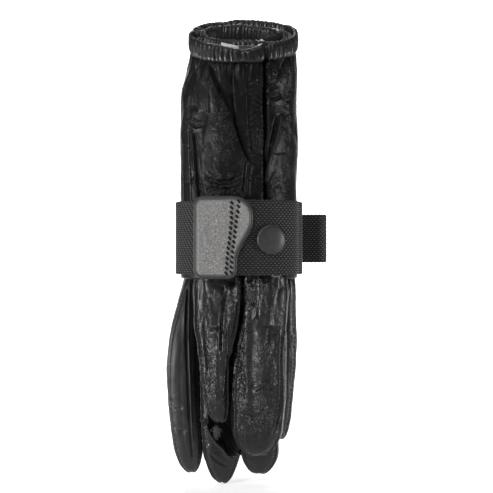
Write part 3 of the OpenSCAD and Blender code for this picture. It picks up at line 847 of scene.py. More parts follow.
def cuff(glove):
    """The rolled cuff, drawn in by its elastic into ribs."""
    loop = through(CUFF_SECTION, 54, closed=True) + (0, CUFF_FOOT)
    start, end = SPAN[glove]
    n = int(around(glove) / 0.33)
    rows = [(z, start, end, h, WALL - h) for h, z in loop]
    p, angle, off, level = tube_grid(rows, n, 3.6)
    normal = outward(p, rows_closed=True)
    s = angle / 360 * FULL_TURN + (off < 0) * 1.3
    up = level - CUFF_FOOT
    ribs = rib_wave(s + 0.06 * up, 5 if glove == "front" else 6)
    bulge = smooth((p[..., 0] - 2) / 5) * smooth(-p[..., 1] / 10) if glove == "front" else 0.0
    strength = (0.58 + 0.22 * noise(p, 8, 3)) * (1 - 0.75 * bulge)
    height = strength * (ribs - 0.6) + 0.5 * bulge * (off > 0)
    height += 0.16 * noise(p, (1.6, 1.6, 3.2), 13) + 0.3 * layered(p, 11, 17)
    p = p + normal * height[..., None]
    p[..., 2] += 0.7 * noise(p, (9, 9, 900), 19)
    if glove == "front":
        slack = 0.32 * bell(p[..., 0] - 3, 9) * smooth(-p[..., 1] / 8) * smooth((off + 1) / 3)
        p[..., 2] -= slack * np.maximum(up, 0)
    obj = grid_object(glove + "_glove_cuff_roll", p, rows_closed=True)
    dress(obj, LEATHER_CUFF, glove + "_glove",
          [glove + "_glove_cuff", glove + "_glove_cuff_elastic"])


def mouth_lining(glove):
    """The fleece cup inside the mouth."""
    z1, z0 = RIM_Z - 2.6, RIM_Z - 27.0
    start, end = SPAN[glove]
    n = int(around(glove) / 0.6)
    rows = [(z, start, end, 3.1, 1.9) for z in np.linspace(z0 - 0.6, z1, 40)]
    rows += [(z, start, end, 2.5, 2.5) for z in np.linspace(z1, z0, 40)]
    p = tube_grid(rows, n, 2.4)[0]
    inner = np.arange(80)[:, None] >= 40
    fluff = 0.18 * noise(p, 1.1, 51) + 0.22 * noise(p, 3.0, 52)
    p = p - outward(p) * np.where(inner, np.abs(fluff), 0.0)[..., None]
    obj = grid_object(glove + "_glove_mouth_lining", p)
    dress(obj, LINING, glove + "_glove", [glove + "_glove_lining"])


# ---------- fingers ----------

# Rows are (z, x, y, half width, half thickness, turn), from the root to the tip. They follow the CAD
# model's fingers.
FINGERS = {
    "front_thumb": [
        (-14, -10.4, -15.2, 10.6, 3.6, -9), (-22, -10.5, -15.8, 12.8, 4.9, -9),
        (-35, -10.6, -15.8, 12.8, 5.2, -9), (-46, -11.3, -15.7, 11.8, 5.2, -8),
        (-56, -12.3, -15.6, 9.4, 5.3, -5), (-73, -11.8, -15.5, 7.6, 5.2, -3),
        (-84, -10.9, -15.2, 6.8, 4.9, -2), (-95, -9.8, -15, 6.2, 4.6, 0)],
    "front_index_finger": [
        (-14, -10.5, -5.6, 7, 3, 0), (-24, -10.5, -5.6, 8.6, 4, 0), (-56, -10.4, -5.4, 10.4, 4.1, 0),
        (-92, -9.9, -5.9, 11, 4.4, 0), (-108, -9.4, -6.2, 10.6, 4.4, 0), (-128.5, -8.9, -6.2, 7.2, 3.8, 0)],
    "front_middle_finger": [
        (-14, -11, 1.2, 7, 1.8, 0), (-24, -11, 1.2, 8.2, 2.1, 0), (-70, -11, 1.2, 8.2, 2.2, 0),
        (-121, -11, 1.2, 7.4, 2.1, 0)],
    "front_ring_finger": [
        (-14, -9.4, 6.3, 6, 1.6, 3), (-24, -9.4, 6.3, 6.8, 1.9, 3), (-70, -9.4, 6.4, 6.8, 1.9, 3),
        (-114, -9, 6.4, 6.2, 1.8, 3)],
    "front_little_finger": [
        (-14, 6, 6.2, 6.4, 2, -4), (-24, 6, 6.2, 7.4, 2.3, -4), (-60, 6, 6.4, 7.4, 2.4, -4),
        (-98, 6, 6.4, 6.2, 2.2, -4)],
    "rear_thumb": [
        (-14, 25, -0.5, 3.2, 6.5, 0), (-22, 25.4, -0.5, 4.4, 8.5, 0), (-40, 25.3, -0.2, 4.8, 8.8, 0),
        (-58, 25.5, 0, 5.4, 9, 0), (-80, 24.1, 0, 5, 8.4, 0), (-107, 22, 0.5, 4.4, 7, 0)],
    "rear_index_finger": [
        (-14, 13.8, -17.2, 9.2, 3, 9), (-22, 13.9, -17.6, 11.3, 4.3, 8), (-42, 13.2, -17.2, 11.6, 5.2, 8),
        (-50, 12.2, -16.9, 12.4, 5.5, 7), (-60, 11.2, -16.6, 13.6, 5.8, 7),
        (-90, 9.9, -16.2, 13.6, 6.2, 5), (-102, 9.4, -16.1, 12.6, 6.1, 5), (-112, 9.2, -16, 11.4, 5.8, 4)],
    "rear_middle_finger": [
        (-14, 15, -10, 6, 2.4, 8), (-24, 15, -9.6, 7.6, 3.2, 8), (-50, 11.4, -6, 8.8, 3.6, 4),
        (-88, 10.2, -4.6, 9.2, 4.4, 0), (-108, 10.8, -4.6, 10.4, 4.6, 0),
        (-124.5, 10.9, -4.4, 10.4, 4.6, 0)],
    "rear_ring_finger": [
        (-14, -24, 6.6, 3.4, 5, 12), (-22, -25.0, 5.6, 4.6, 7.4, 12), (-36, -26.8, 3.0, 6.6, 8.6, 8),
        (-56, -29.1, 0.4, 8.5, 9.4, 4), (-86, -28.8, -0.8, 9.1, 9.2, 0), (-106, -27.0, -1.3, 8.2, 8.6, 0),
        (-124, -25.2, -1.5, 6.6, 7.4, 0)],
    "rear_little_finger": [
        (-14, 1, 17.0, 12, 3, 0), (-22, 1, 17.2, 15, 4.3, 0), (-60, 0, 16.8, 14, 5.2, 0),
        (-95, -1, 16.2, 12.4, 5.2, 0), (-117, -1, 15.8, 10.6, 4.8, 0)],
}
SEAM = 0.9                       # share of the half width where the finger's seams run
TIP_SHARE = 0.14                 # share of a finger's length that its rounded tip takes


def finger_grid(rows, n, step):
    """Grid of a flat finger, and each point's place across its width, from -1 to 1."""
    top, tip = rows[0][0], rows[-1][0]
    long = (top - tip) * TIP_SHARE
    start = tip + long
    body = np.arange(top, start, -step)
    swing = np.linspace(0, np.pi / 2, 26)[:-1]
    z = np.concatenate([body, start - long * np.sin(swing)])
    cap = np.concatenate([np.ones(len(body)), np.maximum(np.cos(swing), 0.0) ** 0.8])
    cx, cy, wide, thick, turn = [v[:, None] for v in ladder(rows, z)]
    cap = cap[:, None]
    a = whole_turn(n)
    across = signed_power(np.cos(a), 0.8)
    px = wide * cap * across
    py = thick * cap ** 0.7 * signed_power(np.sin(a), 0.8)
    turn = np.radians(turn)
    x = cx + px * np.cos(turn) - py * np.sin(turn)
    y = cy + px * np.sin(turn) + py * np.cos(turn)
    return stack(x, y, z[:, None]), across


def finger(name, features, rough, seed, n, step=0.5, material=LEATHER):
    """One finger: flattened leather with welted side seams, long folds and small creases."""
    rows = FINGERS[name]
    p, across = finger_grid(rows, n, step)
    s = Sculpt(p)
    free = smooth((-16 - p[..., 2]) / 6)
    s.swell(0.55, (8, 8, 17), seed, free)
    s.swell(0.14, (3, 3, 4.5), seed + 4, free * rough)
    s.crumple(0.24 * rough, (5, 5, 12), 0.1, seed + 5, free)
    s.crumple(0.1 * rough, (2.6, 2.6, 3.2), 0.16, seed + 6, free)
    # welted seams along both edges of the front and the back, meeting round the tip
    edge = np.abs(across) - SEAM
    width = ladder(rows, p[:, 0, 2])[2][:, None]
    s.h += free * (0.42 * bell(edge * width, 0.4) - 0.3 * bell(edge * width + 0.95, 0.5))
    if features:
        features(s, p)
    q = s.result()
    glove, rest = name.split("_", 1)
    node = glove + "_glove_" + rest
    obj = grid_object(node + "_leather", q, marks=s.marks())
    dress(obj, material, glove + "_glove", [node])
    return q, across


def thumb_folds(s, p):
    """Long folds of the front thumb, with worn ridges between them."""
    s.groove([(2.0, -18), (1.6, -30), (1.2, -40)], 0.8, 0.6, 0.2)
    s.fold([(-5.4, -26), (-9.2, -33), (-10.4, -41), (-10.8, -52)], 1.0, 0.9, -1, (4, 2.5), 0.7)
    s.groove([(-7.0, -29.5), (-8.3, -38.8), (-8.9, -46.9), (-9.4, -60)], 1.0, 0.55, 0.6)
    s.fold([(-2.0, -36), (-5.2, -44), (-6.2, -56), (-6.6, -70)], 0.8, 0.7, -1, (3, 2.5), 0.6)
    s.ridge([(-7.7, -57), (-7.5, -72.3), (-8.6, -82)], 0.55, 0.7)
    s.groove([(-17.6, -42), (-16.6, -56), (-15.4, -68)], 0.6, 0.6, 0.6)
    s.groove([(-21.8, -24), (-21.8, -34), (-20.8, -48), (-18.6, -64)], 0.5, 0.6, 0.4)
    s.ridge([(-12.2, -44), (-11.2, -62), (-10.6, -86)], 2.0, 3.4)
    s.ridge([(-4.0, -22), (-3.0, -40), (-5.0, -62)], 1.6, 2.6)
    rough = blobs(p, (-5, -36, 3, 13, 1), (-15, -60, 3, 13, 1), (-13.5, -76, 3, 9, 0.9))
    s.crush(rough, 0.45, (2.4, 2.4, 3.4), 61)


def index_folds(s, p):
    """Folds of the large finger at the front right, the rear glove's index finger."""
    s.fold([(4.6, -18), (4.4, -32), (4.2, -44), (3.6, -54), (3.9, -64), (4.6, -74), (4.2, -84)],
           0.9, 2.0, 1, (3.5, 3.5), 0.8, 0.1)
    s.ridge([(15.6, -14), (15.6, -26), (14.8, -46)], 2.1, 3.4, 0.05)
    s.ridge([(6.0, -30), (5.6, -58), (6.4, -92)], 1.9, 3.4)
    s.fold([(19.9, -20), (19.2, -27), (16.8, -35.4), (14.9, -44.9), (13.4, -55)], 0.9, 1.1, -1, (4, 3.5),
           0.7)
    s.groove([(8.8, -18), (9.2, -30), (8.6, -42)], 0.7, 1.2, 0.4)
    s.groove([(22.6, -46), (21.6, -62), (21.8, -76), (20.2, -92), (16.5, -101)], 0.7, 0.5, 0.7)
    s.groove([(7, -78), (12, -75.5), (18, -77)], 0.45, 0.9, 0.6)
    s.groove([(2, -88), (7, -92), (10, -97)], 0.45, 0.8, 0.6)
    s.groove([(16, -86), (13, -92), (11, -99)], 0.4, 0.8, 0.6)
    rough = blobs(p, (1.5, -62, 3.4, 26, 1), (5.5, -30, 2.4, 13, 1), (7, -92, 6, 8, 0.7),
                  (15, -86, 4, 10, 0.5), (11.5, -27, 3, 9, 0.6))
    s.crush(rough, 0.4, (2.4, 2.4, 3.2), 71)


def low_finger_folds(s, p):
    """The lowest finger of the front glove is folded open near its tip, with a deep dent whose colour is
    painted nearly black as shade.
    """
    edge = through([(-17.5, -95), (-15.2, -101), (-12.4, -105.5), (-8, -109.6), (-5, -113.8),
                    (0.5, -112.5)], 30)
    x, z = p[..., 0], p[..., 2]
    rim = np.interp(x, edge[:, 0], edge[:, 1])
    # painted shade: this mark darkens the colour in the dent as well as sinking it
    s.hollow = smooth(z - rim) * smooth((x + 16.2) / 1.5) * smooth((-80 - z) / 6) * s.front
    s.h -= 5.5 * s.hollow
    s.h += 0.9 * bell(z - rim + 0.7, 0.9) * s.front
    s.groove([(-15, -113), (-10, -117), (-5, -119)], 0.5, 0.7, 0.5)


def left_finger_folds(s, p):
    """Seam groove and soft dents of the finger at the left."""
    s.groove([(-27.2, -24), (-27.4, -50), (-26.4, -80), (-25.4, -104), (-24.4, -118)], 0.9, 0.5, 0.5,
             0.05)
    s.ridge([(-28.6, -30), (-29.2, -60), (-28.4, -90), (-27, -112)], 0.4, 0.8)
    s.groove([(-36.5, -84), (-33, -88), (-29, -89)], 0.5, 1.2, 0.4)
    s.groove([(-34, -98), (-30, -101), (-27, -100)], 0.4, 1.0, 0.4)


# ---------- webbing ----------

WEFT = 1.12                      # height of one row of the weave
FLOAT = 2.1                      # length of one float along the webbing
RELIEF = 0.34                    # height of the weave
SUNK = 0.12                      # the weave's middle lies this far inside the webbing's thickness
EDGE_R = 0.5                     # rounding of the strip's edges
EDGE_WAVE = 0.12                 # the edges' small waves
ROW_STEP, COLUMN_STEP = 0.24, 0.2    # distance of the mesh's points along and across


def brick(length, z, twill):
    """Height of the weave, and how raised it is from 0 to 1: rows of floats, each row shifted a little."""
    row = np.floor(z / WEFT)
    f = (length / FLOAT + twill * row) % 1.0
    g = (z / WEFT) % 1.0
    raised = np.sin(np.pi * f) ** 0.6 * np.sin(np.pi * g) ** 0.5
    return RELIEF * (raised * 1.25 - 0.55), raised


def strip_section(width, both):
    """Round a strip's section: height, distance outwards, and 1 where it is woven in relief."""
    half, thick = width / 2 - EDGE_R, WEB_T / 2 - SUNK
    face = np.linspace(-half, half, int(width / COLUMN_STEP))
    back = face[::-1] if both else face[::-6]
    turn = np.linspace(-np.pi / 2, np.pi / 2, 9)[1:-1]
    plain = np.zeros(len(turn))
    z = np.concatenate([face, half + EDGE_R * np.cos(turn), back, -half - EDGE_R * np.cos(turn)])
    out = np.concatenate([np.full(len(face), thick), -thick * np.sin(turn),
                          np.full(len(back), -thick), thick * np.sin(turn)])
    woven = np.concatenate([np.ones(len(face)), plain, np.full(len(back), float(both)), plain])
    return z, out, woven


def webbing(name, path, width, twill=0.5, both=False):
    """A woven strip. The path is its middle line in plan, and its right side is the outer face.

    The back is woven in relief only where both is true."""
    path = np.asarray(path, float)
    path = evenly(path, int(run_length(path)[-1] / ROW_STEP))
    run = np.gradient(path, axis=0)
    run /= np.linalg.norm(run, axis=1, keepdims=True)
    outwards = stack(run[:, 1], -run[:, 0])
    length = run_length(path)[:, None]
    z, out, woven = strip_section(width, both)
    weave, raised = brick(length, z + width / 2, twill)
    out = out + np.sign(out) * weave * woven
    edge = EDGE_WAVE * np.sin(length * 2 * np.pi / FLOAT) * (1 - woven)
    x, y = [path[:, k, None] + outwards[:, k, None] * out for k in (0, 1)]
    p = stack(x, y, z * (1 + edge / (width / 2)))
    # the raised mark also paints shade into the webbing's colour where the weave lies low
    return grid_object(name, p, marks={"raised": raised * woven + 0.5 * (1 - woven)})


def strap_path(from_angle, to_angle, off_inner):
    """Middle line of strap webbing whose inner face is off_inner(angle) outside the strap's inside."""
    a = np.linspace(from_angle, to_angle, 240)
    off = np.array([off_inner(v) for v in a]) + WEB_T / 2
    return stack(*oval(a, STRAP_RX + off, STRAP_RY + off))


def flap_rise(angle):
    """How far the flap stands off the strap's inner face at an angle."""
    return FLAP_OFF * float(smooth((FLAP_HINGE - angle) / (FLAP_HINGE - INNER_END - 3)))


FLAP_BEND = 14.0                 # degrees round the strap from the flap's hinge to a second point on its middle line, worked out and not used
TAB_BEND = 9.0


def strap_place(angle):
    """Point on the flap's middle line at an angle, in the shared frame."""
    x, y = strap_path(angle, angle, flap_rise)[0]
    return (x * MM, (y + AXIS_Y) * MM, 0.0)


def strap():
    """The wrap, the flap that closes over it and the short end under the tab."""
    wrap_path = strap_path(FLAP_HINGE - 360, INNER_END, lambda a: 0.0)
    wrap = webbing("strap_wrap_webbing", wrap_path, STRAP_W, 0.34)
    dress(wrap, WEBBING, "strap", ["wrap_webbing"])
    tab_angle = front_angle(TAB_HINGE_X, FLAP_OFF + WEB_T)
    end_angle = front_angle(-6.0, FLAP_OFF + WEB_T)
    flap = webbing("strap_flap_webbing", strap_path(FLAP_HINGE, tab_angle, flap_rise)[::-1], STRAP_W)
    dress(flap, WEBBING, None, ["flap_webbing"])
    strap_place(FLAP_HINGE)
    strap_place(FLAP_HINGE - FLAP_BEND)
    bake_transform(flap)
    under = webbing("strap_tab_webbing", strap_path(tab_angle, end_angle, flap_rise)[::-1], STRAP_W)
    dress(under, WEBBING, None, ["tab_webbing"])
    strap_place(tab_angle)
    strap_place(tab_angle - TAB_BEND)
    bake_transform(under)


# ---------- belt loop ----------

LOOP_LOW, LOOP_HIGH = box_mm("belt_loop_webbing")
LOOP_W = LOOP_HIGH[2] - LOOP_LOW[2]
BELT_GAP = 6.2
LOOP_SEWN = -22.0                # x of the loop's left end
LOOP_FREE = 4.0                  # x where the loop leaves the strap
LOOP_SLOPE = -0.058
LOOP_ROWS = (-20.6, -17.4)       # x of the two rows of stitches


def strap_back(x):
    """Depth of the strap's outer back face at x."""
    return (STRAP_RY + WEB_T) * (1 - (abs(x) / (STRAP_RX + WEB_T)) ** ROUND) ** (1 / ROUND)


def loop_near(x):
    """Depth of the loop's inner face at x: on the strap, then straight on."""
    return strap_back(x) if x <= LOOP_FREE else strap_back(LOOP_FREE) + LOOP_SLOPE * (x - LOOP_FREE)


def belt_loop():
    """The belt loop's webbing: sewn to the strap, folded back at its right end round the belt gap."""
    fold_r = (BELT_GAP + WEB_T) / 2
    fold_x = LOOP_HIGH[0] - fold_r - WEB_T / 2
    xs = np.linspace(LOOP_SEWN, fold_x, 60)
    inner = [(x, loop_near(x) + WEB_T / 2) for x in xs]
    cy = loop_near(fold_x) + WEB_T / 2 + fold_r
    a = np.radians(np.linspace(-90, 90, 25)[1:-1])
    fold = [(fold_x + fold_r * math.cos(t), cy + fold_r * math.sin(t)) for t in a]
    outer = [(x, loop_near(x) + 1.5 * WEB_T + BELT_GAP * float(smooth((x - LOOP_SEWN - 6) / 6)))
             for x in xs[::-1]]
    loop = webbing("belt_loop_webbing_strip", inner + fold + outer, LOOP_W, both=True)
    dress(loop, WEBBING, "strap", ["belt_loop_webbing"])


def loop_stitches():
    """Two upright rows of stitches at the belt loop's sewn end."""
    t = np.linspace(0, 1, 6)
    bow = np.sin(t * np.pi)
    made = []
    for x in LOOP_ROWS:
        y = loop_near(x) + 2 * WEB_T + 0.1
        for k in range(11):
            z = -LOOP_W / 2 + 2.2 + k * 2.25
            made.append(tube(stack(x + 0.15 * bow, y + 0.28 * bow, z + 1.6 * t), 0.3))
    dress(joined("belt_loop_stitches", made), THREAD, "strap", ["belt_loop_stitching"])


# ---------- thumb tab ----------

TAB_LOW, TAB_HIGH = box_mm("thumb_tab")
TAB_BACK = TAB_HIGH[1] - AXIS_Y
TAB_T = TAB_HIGH[1] - TAB_LOW[1]
TAB_H = TAB_HIGH[2] - TAB_LOW[2]
TAB_L, TAB_R = TAB_LOW[0], TAB_HIGH[0]
TAB_CORNER = 5.0
TAB_FLANGE = 1.5                 # thickness of the tab's rim
TAB_STEP = TAB_T - 2.2           # height of its face over the rim
TAB_BARREL = 1.1                 # crown of its left part
TAB_CHANNEL = 0.55               # depth of the channel that the stitches lie in


def arc(cx, cy, r, start, end, steps=10):
    a = np.radians(np.linspace(start, end, steps))
    return stack(cx + r * np.cos(a), cy + r * np.sin(a))


def tab_outline(n=360):
    """The tab's outline: square on the left, an S curve down its right side."""
    h, waist, c = TAB_H / 2, TAB_R - 8, TAB_CORNER
    t = np.linspace(0.05, 1, 20)
    curve = stack(waist + (TAB_R - waist) * smooth(t), -h + 9 + (h * 0.42 + h - 9) * t)
    line = np.vstack([arc(TAB_L + c, -h + c, c, 180, 270), arc(waist - c, -h + c, c, 270, 340), curve,
                      arc(TAB_R - 2 * c, h - 2 * c, 2 * c, 0, 90, 16), arc(TAB_L + c, h - c, c, 90, 180)])
    return evenly(np.vstack([line, line[:1]]), n, closed=True)


def stitch_x(z):
    """Middle of the tab's two stitch rows at height z."""
    return -3.2 + 1.7 * np.sin(np.radians(z * 4.2))


def tab_height(x, z, inset):
    """Height of the tab's front over its back at a distance inside its outline."""
    flange = TAB_FLANGE * smooth(inset / 0.7) ** 0.5
    step = TAB_STEP * smooth((inset - 1.25) / 1.5)
    barrel = TAB_BARREL * (1 - np.clip((x - (TAB_L + 9)) / 9.5, -1, 1) ** 2) * smooth((inset - 1.5) / 5)
    channel = TAB_CHANNEL * bell(x - stitch_x(z), 2.6) * smooth((inset - 2) / 2)
    dish = 0.25 * blob(stack(x, x, z), (3, 9), (5, 8))
    return flange + step + barrel - channel - dish


def thumb_tab():
    """The moulded tab, in rings from its outline inwards. Its marks are 0 on the rim and 1 on the face,
    falling a little towards the left edge; they paint shade into the colour.
    """
    outline = tab_outline()
    centre = np.array([TAB_L + 11.5, 0.0])
    inset = np.concatenate([np.linspace(0, 0.3, 44) ** 1.35 / 0.3 ** 0.35, np.linspace(0.3, 1, 60)[1:-1]])
    dark = np.zeros(len(outline))
    rim = centre + (outline - centre) * 0.992
    rows = [stack(rim[:, 0], TAB_BACK, rim[:, 1]), stack(outline[:, 0], TAB_BACK - 0.35, outline[:, 1])]
    face = [dark, dark]
    for share in 1 - inset[1:]:
        x, z = (centre + (outline - centre) * share).T
        d = np.hypot(x[:, None] - outline[::3, 0], z[:, None] - outline[::3, 1]).min(axis=1)
        d = np.where(share > 0.999, 0.0, d)
        rows.append(stack(x, TAB_BACK - tab_height(x, z, d), z))
        # painted shade: 0 on the rim and lower towards the left edge, which darkens the colour there
        face.append(smooth((d - 0.9) / 1.6) * (0.82 + 0.18 * smooth((x - TAB_L) / 12)))
    tab = grid_object("thumb_tab_moulding", np.array(rows), marks={"raised": np.array(face)})
    dress(tab, PLASTIC, "tab", ["thumb_tab"])


def tab_stitches():
    """Two rows of slanted stitches in the tab's channel."""
    t = np.linspace(-0.5, 0.5, 7)
    lift = np.sin(np.linspace(0, np.pi, 7))
    made = []
    for row in (-1, 1):
        for k in range(-7, 8):
            z = k * 2.5 + 0.3 * row
            x = stitch_x(z) + row * (1.2 + 0.5 * smooth((z - 8) / 8))
            y = TAB_BACK - tab_height(x, np.array(z), 6.0)
            made.append(tube(stack(x - 1.0 * t, y - 0.45 * lift + 0.3, z + 1.2 * t), 0.62))
    dress(joined("thumb_tab_stitches", made), TAB_THREAD, "tab", ["tab_stitching"])


# ---------- press stud ----------

def on_stud(radius, height):
    """Rings round the stud's axis from (radius, height) pairs."""
    turn = math.radians(STUD_TURN)
    foot_x = STUD_X - FLAP_OFF * math.sin(turn)
    _, foot_y = oval(front_angle(foot_x, WEB_T), STRAP_RX + WEB_T, STRAP_RY + WEB_T)
    axis = np.array([math.sin(turn), -math.cos(turn), 0])
    side = np.array([math.cos(turn), math.sin(turn), 0])
    a = whole_turn(96)[None, :, None]
    r, h = radius[:, None, None], height[:, None, None]
    foot = np.array([foot_x, float(foot_y), STUD_Z])
    return foot + axis * h + side * r * np.cos(a) + np.array([0, 0, 1]) * r * np.sin(a)


# (radius, height) over the flap of the cap's profile, from its rivet inside the webbing to its crown
CAP_PROFILE = [
    (2.0, -1.7), (2.0, -0.05), (6.6, -0.05), (7.2, 0.1), (7.5, 0.5), (7.5, 0.85), (7.3, 1.3), (6.8, 1.75),
    (5.8, 2.1), (4.4, 2.36), (3.2, 2.46), (2.2, 2.5), (1.2, 2.5), (0.15, 2.5)]
CAP_FOOT = FLAP_OFF + 0.25


def snap():
    """The press stud: a domed cap, and enamel on the CAD model's other parts of it."""
    line = through(CAP_PROFILE, 60)
    cap = grid_object("snap_cap_dome", on_stud(line[:, 0], CAP_FOOT + line[:, 1]))
    dress(cap, ENAMEL, "flap", ["snap_cap"])
    for node in ("snap_stud", "snap_post", "snap_socket"):
        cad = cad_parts[node]
        cad.data.materials.clear()
        cad.data.materials.append(ENAMEL)


# ---------- seams, label and small things ----------

STITCH_PITCH = 2.3
STITCH_LONG = 1.4
STITCH_R = 0.17
STITCH_SUNK = 0.05


def stitch_line(path, normal):
    """Short stitches laid along a path on a surface."""
    at = run_length(path)
    bow = np.sin(np.linspace(0, np.pi, 5))[:, None]
    made = []
    for start in np.arange(STITCH_PITCH * 0.5, at[-1] - STITCH_LONG, STITCH_PITCH):
        want = start + np.linspace(0, STITCH_LONG, 5)
        lift = bow * (STITCH_R + STITCH_SUNK) - STITCH_SUNK
        middle = read_line(path, at, want) + read_line(normal, at, want) * lift
        made.append(tube(middle, STITCH_R, 6))
    return made


def finger_stitches(grids):
    """Stitches beside each finger's front and back seams."""
    made = []
    for q, across in grids:
        n = outward(q)
        columns = len(across)
        for half, side in np.ndindex(2, 2):
            cols = np.arange(half * columns // 2 + 1, (half + 1) * columns // 2)
            k = cols[np.argmin(np.abs(across[cols] - (2 * side - 1) * (SEAM - 0.1)))]
            made += stitch_line(q[14:-9, k], n[14:-9, k])
    return made


# Upper and lower end (angle, z) of each raised point
POINTS = {
    "front": [((215, 60), (224, -16)), ((202, 50), (206, -16))],
    "rear": [((60, 62), (68, -16)), ((90, 66), (90, -16)), ((120, 62), (112, -16))],
}


def raised_points(glove):
    """Rope-like raised points on the back of the hand: rods with beads along them."""
    made = []
    t = np.linspace(0, 1, 90)
    for (a0, z0), (a1, z1) in POINTS[glove]:
        x, y = oval(a0 + (a1 - a0) * smooth(t), MID_RX + WALL + 0.1, MID_RY + WALL + 0.1)
        made.append(tube(stack(x, y, z0 + (z1 - z0) * t), 0.42 + 0.1 * np.abs(np.sin(t * 90))))
    return made


LABEL_W, LABEL_H, LABEL_T = 9.0, 14.0, 0.22
LABEL_DROP = 16.4                # the label's middle lies this far below the rim


def label():
    """A blank tape label sewn into the front glove's mouth, with its upper edge curled."""
    half_w, half_h = LABEL_W / 2, LABEL_H / 2
    x, z = np.meshgrid(np.linspace(-half_w, half_w, 24), np.linspace(-half_h, half_h, 30))
    curl = 0.5 * smooth((z - 3) / 5) * (1 + 0.4 * np.sin(x))
    fall = (0.9 + 0.22 * x) * smooth(z / 7)
    front = stack(x - 4.5, -15.35 - curl, z + RIM_Z - LABEL_DROP - fall)
    back = front + np.array([0, LABEL_T, 0])
    obj = grid_object("front_glove_care_label", np.concatenate([front, back[:, ::-1]], axis=1))
    dress(obj, LABEL, "front_glove", ["front_glove_label"])


def palm_fold():
    """Soft leather rolled up inside the open middle of the bundle."""
    rx, ry = MID_RX - WALL - 1.2, MID_RY - WALL - 1.1
    z = np.concatenate([np.linspace(-21.8, 20, 60), np.linspace(20.7, 38, 50)])
    scale = np.where(z < 16, 1.0, np.sqrt(np.clip(1 - ((z - 16) / 22.2) ** 2, 0, 1)))
    x, y = oval(np.linspace(0, 360, 200, endpoint=False), rx, ry)
    s = Sculpt(stack(x * scale[:, None] - 0.6, y * scale[:, None] - 0.2, z[:, None]))
    upper = smooth((z[:, None] - 12) / 8)
    s.h -= 0.3
    s.swell(0.5, (6, 6, 8), 90, upper)
    s.crumple(0.8, (6, 6, 12), 0.2, 91, upper)
    obj = grid_object("front_glove_rolled_palm", s.result())
    dress(obj, LEATHER, "front_glove", ["front_glove_palm_fold"])


TUFT_AT = np.array([-11.6, -10.2, -101.6])
TUFT_STRANDS = 60


def fluff():
    """A tuft of lining that shows at the opened fingertip."""
    rng = np.random.default_rng(4)
    made = []
    for _ in range(TUFT_STRANDS):
        start = TUFT_AT + rng.normal(0, 1, 3) * (0.8, 0.3, 1.1)
        t = np.linspace(0, 1, 15)[:, None]
        curl = np.sin(t * rng.uniform(3, 8, 3) + rng.uniform(0, 6, 3))
        path = start + curl * (0.9, 0.4, 1.1)
        made.append(tube(path, 0.05, 4))
    dress(joined("front_glove_lining_tuft", made), FLUFF, "front_glove")


def gloves():
    """Both gloves. A finger takes its folds, roughness, seed, points round it and step along it."""
    for glove, hand in (("front_glove", front_hand()), ("rear_glove", rear_hand())):
        dress(hand, LEATHER_HAND, glove, [glove + "_back", glove + "_palm"])
    for glove in ("front", "rear"):
        cuff(glove)
        mouth_lining(glove)
    palm_fold()
    label()
    front = [
        finger("front_thumb", thumb_folds, 1.0, 101, 170, 0.42),
        finger("front_index_finger", low_finger_folds, 0.8, 111, 150),
        finger("front_middle_finger", None, 0.6, 121, 96, 0.8),
        finger("front_ring_finger", None, 0.6, 131, 96, 0.8),
        finger("front_little_finger", None, 0.6, 141, 96, 0.8)]
    rear = [
        finger("rear_thumb", None, 0.9, 151, 120),
        finger("rear_index_finger", index_folds, 1.0, 161, 200, 0.42),
        finger("rear_middle_finger", None, 0.8, 171, 130),
        finger("rear_ring_finger", left_finger_folds, 0.35, 181, 150, material=LEATHER_SMOOTH),
        finger("rear_little_finger", None, 1.0, 191, 170)]
    for glove, grids in (("front", front), ("rear", rear)):
        body = glove + "_glove"
        seams = joined(body + "_finger_stitches", finger_stitches(grids))
        dress(seams, THREAD, body, [body + "_fourchettes"])
        points = joined(body + "_raised_points", raised_points(glove))
        dress(points, LEATHER, body, [body + "_points"])
    fluff()


# ---------- stage ----------

CAMERA_BACK = 450.0
CAMERA_X, CAMERA_Z = 0.004, -0.0045
IMAGE_COLUMNS = 493
VIEW_SCALE = 0.534               # millimetres across one column, at the bundle's axis
FLOOR_HALF = 6.0                 # metres, as the rest of the stage
FLOOR_BACK = 1.2
BACKDROP_HALF, BACKDROP_TOP = 0.75, 0.9
WORLD_LIGHT = 0.2
LIGHTS = [                       # name, place, watts, side length
    ("left", (-1.15, -0.55, -0.02), 11.0, 0.2),
    ("right", (1.2, -0.55, 0.0), 8.0, 0.2),
    ("key", (-0.6, -0.95, 0.8), 6.0, 0.2),
    ("top", (0.15, -0.35, 1.1), 2.0, 0.3),
    ("back", (-0.2, 0.9, 0.8), 5.0, 0.5),
]


def stage_paint(name):
    """Pale paint that gets brighter away from the object, so that it reads as plain white behind it."""
    m = Nodes(name)
    behind = m.add("ShaderNodeSeparateXYZ", {0: m.coords()}).outputs[1]
    away = m.add("ShaderNodeVectorMath", {0: m.coords()}, operation="LENGTH").outputs["Value"]
    glow = m.math("MAXIMUM", m.level(behind, 0.0, 1.0, -0.12, 0.03), m.level(away, 0.0, 0.4, 0.2, 0.8))
    return m.finish((0.8, 0.8, 0.8, 1), 0.9, None, 0.1, Emission_Color=(1, 1, 1, 1),
                    Emission_Strength=glow)


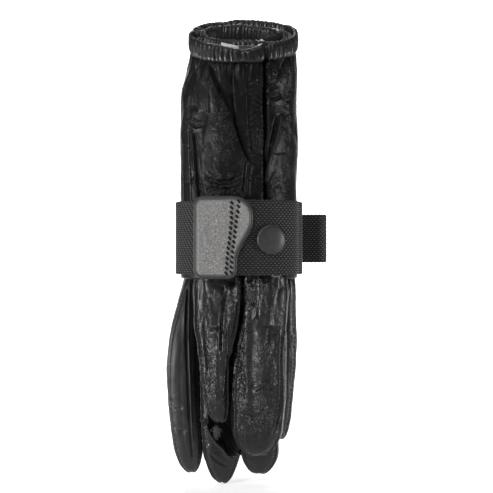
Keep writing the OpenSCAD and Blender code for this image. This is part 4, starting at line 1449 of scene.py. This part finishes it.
def stage_plane(name, corners, n=48):
    """A flat, finely divided sheet between four corners, in metres."""
    a, b, c, d = [np.array(v, float) for v in corners]
    u, v = np.meshgrid(np.linspace(0, 1, n), np.linspace(0, 1, n))
    u, v = u[..., None], v[..., None]
    points = (a * (1 - u) + b * u) * (1 - v) + (d * (1 - u) + c * u) * v
    quads = [(r * n + k, r * n + k + 1, (r + 1) * n + k + 1, (r + 1) * n + k)
             for r in range(n - 1) for k in range(n - 1)]
    mesh = bpy.data.meshes.new(name)
    mesh.from_pydata(points.reshape(-1, 3).tolist(), [], quads)
    mesh.materials.append(stage_paint(name + "_paint"))
    add_object(name, mesh)


def area_light(name, place, power, size):
    """A square soft box that faces the bundle."""
    data = bpy.data.lights.new(name, "AREA")
    data.energy = power
    data.shape = "SQUARE"
    data.size = size
    obj = add_object(name, data)
    obj.location = place
    facing = Vector((0, AXIS_Y * MM, 0)) - Vector(place)
    obj.rotation_euler = facing.to_track_quat("-Z", "Y").to_euler()


def camera():
    """A level camera in front of the bundle."""
    data = bpy.data.cameras.new("camera")
    data.lens = data.sensor_width * CAMERA_BACK / (VIEW_SCALE * IMAGE_COLUMNS)
    data.clip_start, data.clip_end = 0.01, 20
    obj = add_object("camera", data)
    obj.location = (CAMERA_X, (AXIS_Y - CAMERA_BACK) * MM, CAMERA_Z)
    obj.rotation_euler = (math.radians(90), 0, 0)
    bpy.context.scene.camera = obj


def stage():
    """Floor, backdrop, world and lights."""
    z, half, back = CAD_BOX[0].z - 0.0005, FLOOR_HALF, FLOOR_BACK
    stage_plane("floor", [(-half, -half, z), (half, -half, z), (half, back, z), (-half, back, z)])
    half, top = BACKDROP_HALF, BACKDROP_TOP
    stage_plane("backdrop", [(-half, back, z), (half, back, z), (half, back, top), (-half, back, top)])
    world = bpy.data.worlds.new("studio")
    world.use_nodes = True
    background = world.node_tree.nodes["Background"]
    background.inputs["Color"].default_value = (1, 1, 1, 1)
    background.inputs["Strength"].default_value = WORLD_LIGHT
    bpy.context.scene.world = world
    bpy.context.scene.view_settings.view_transform = "Standard"
    for row in LIGHTS:
        area_light(*row)


gloves()
strap()
belt_loop()
loop_stitches()
thumb_tab()
tab_stitches()
snap()
stage()
camera()
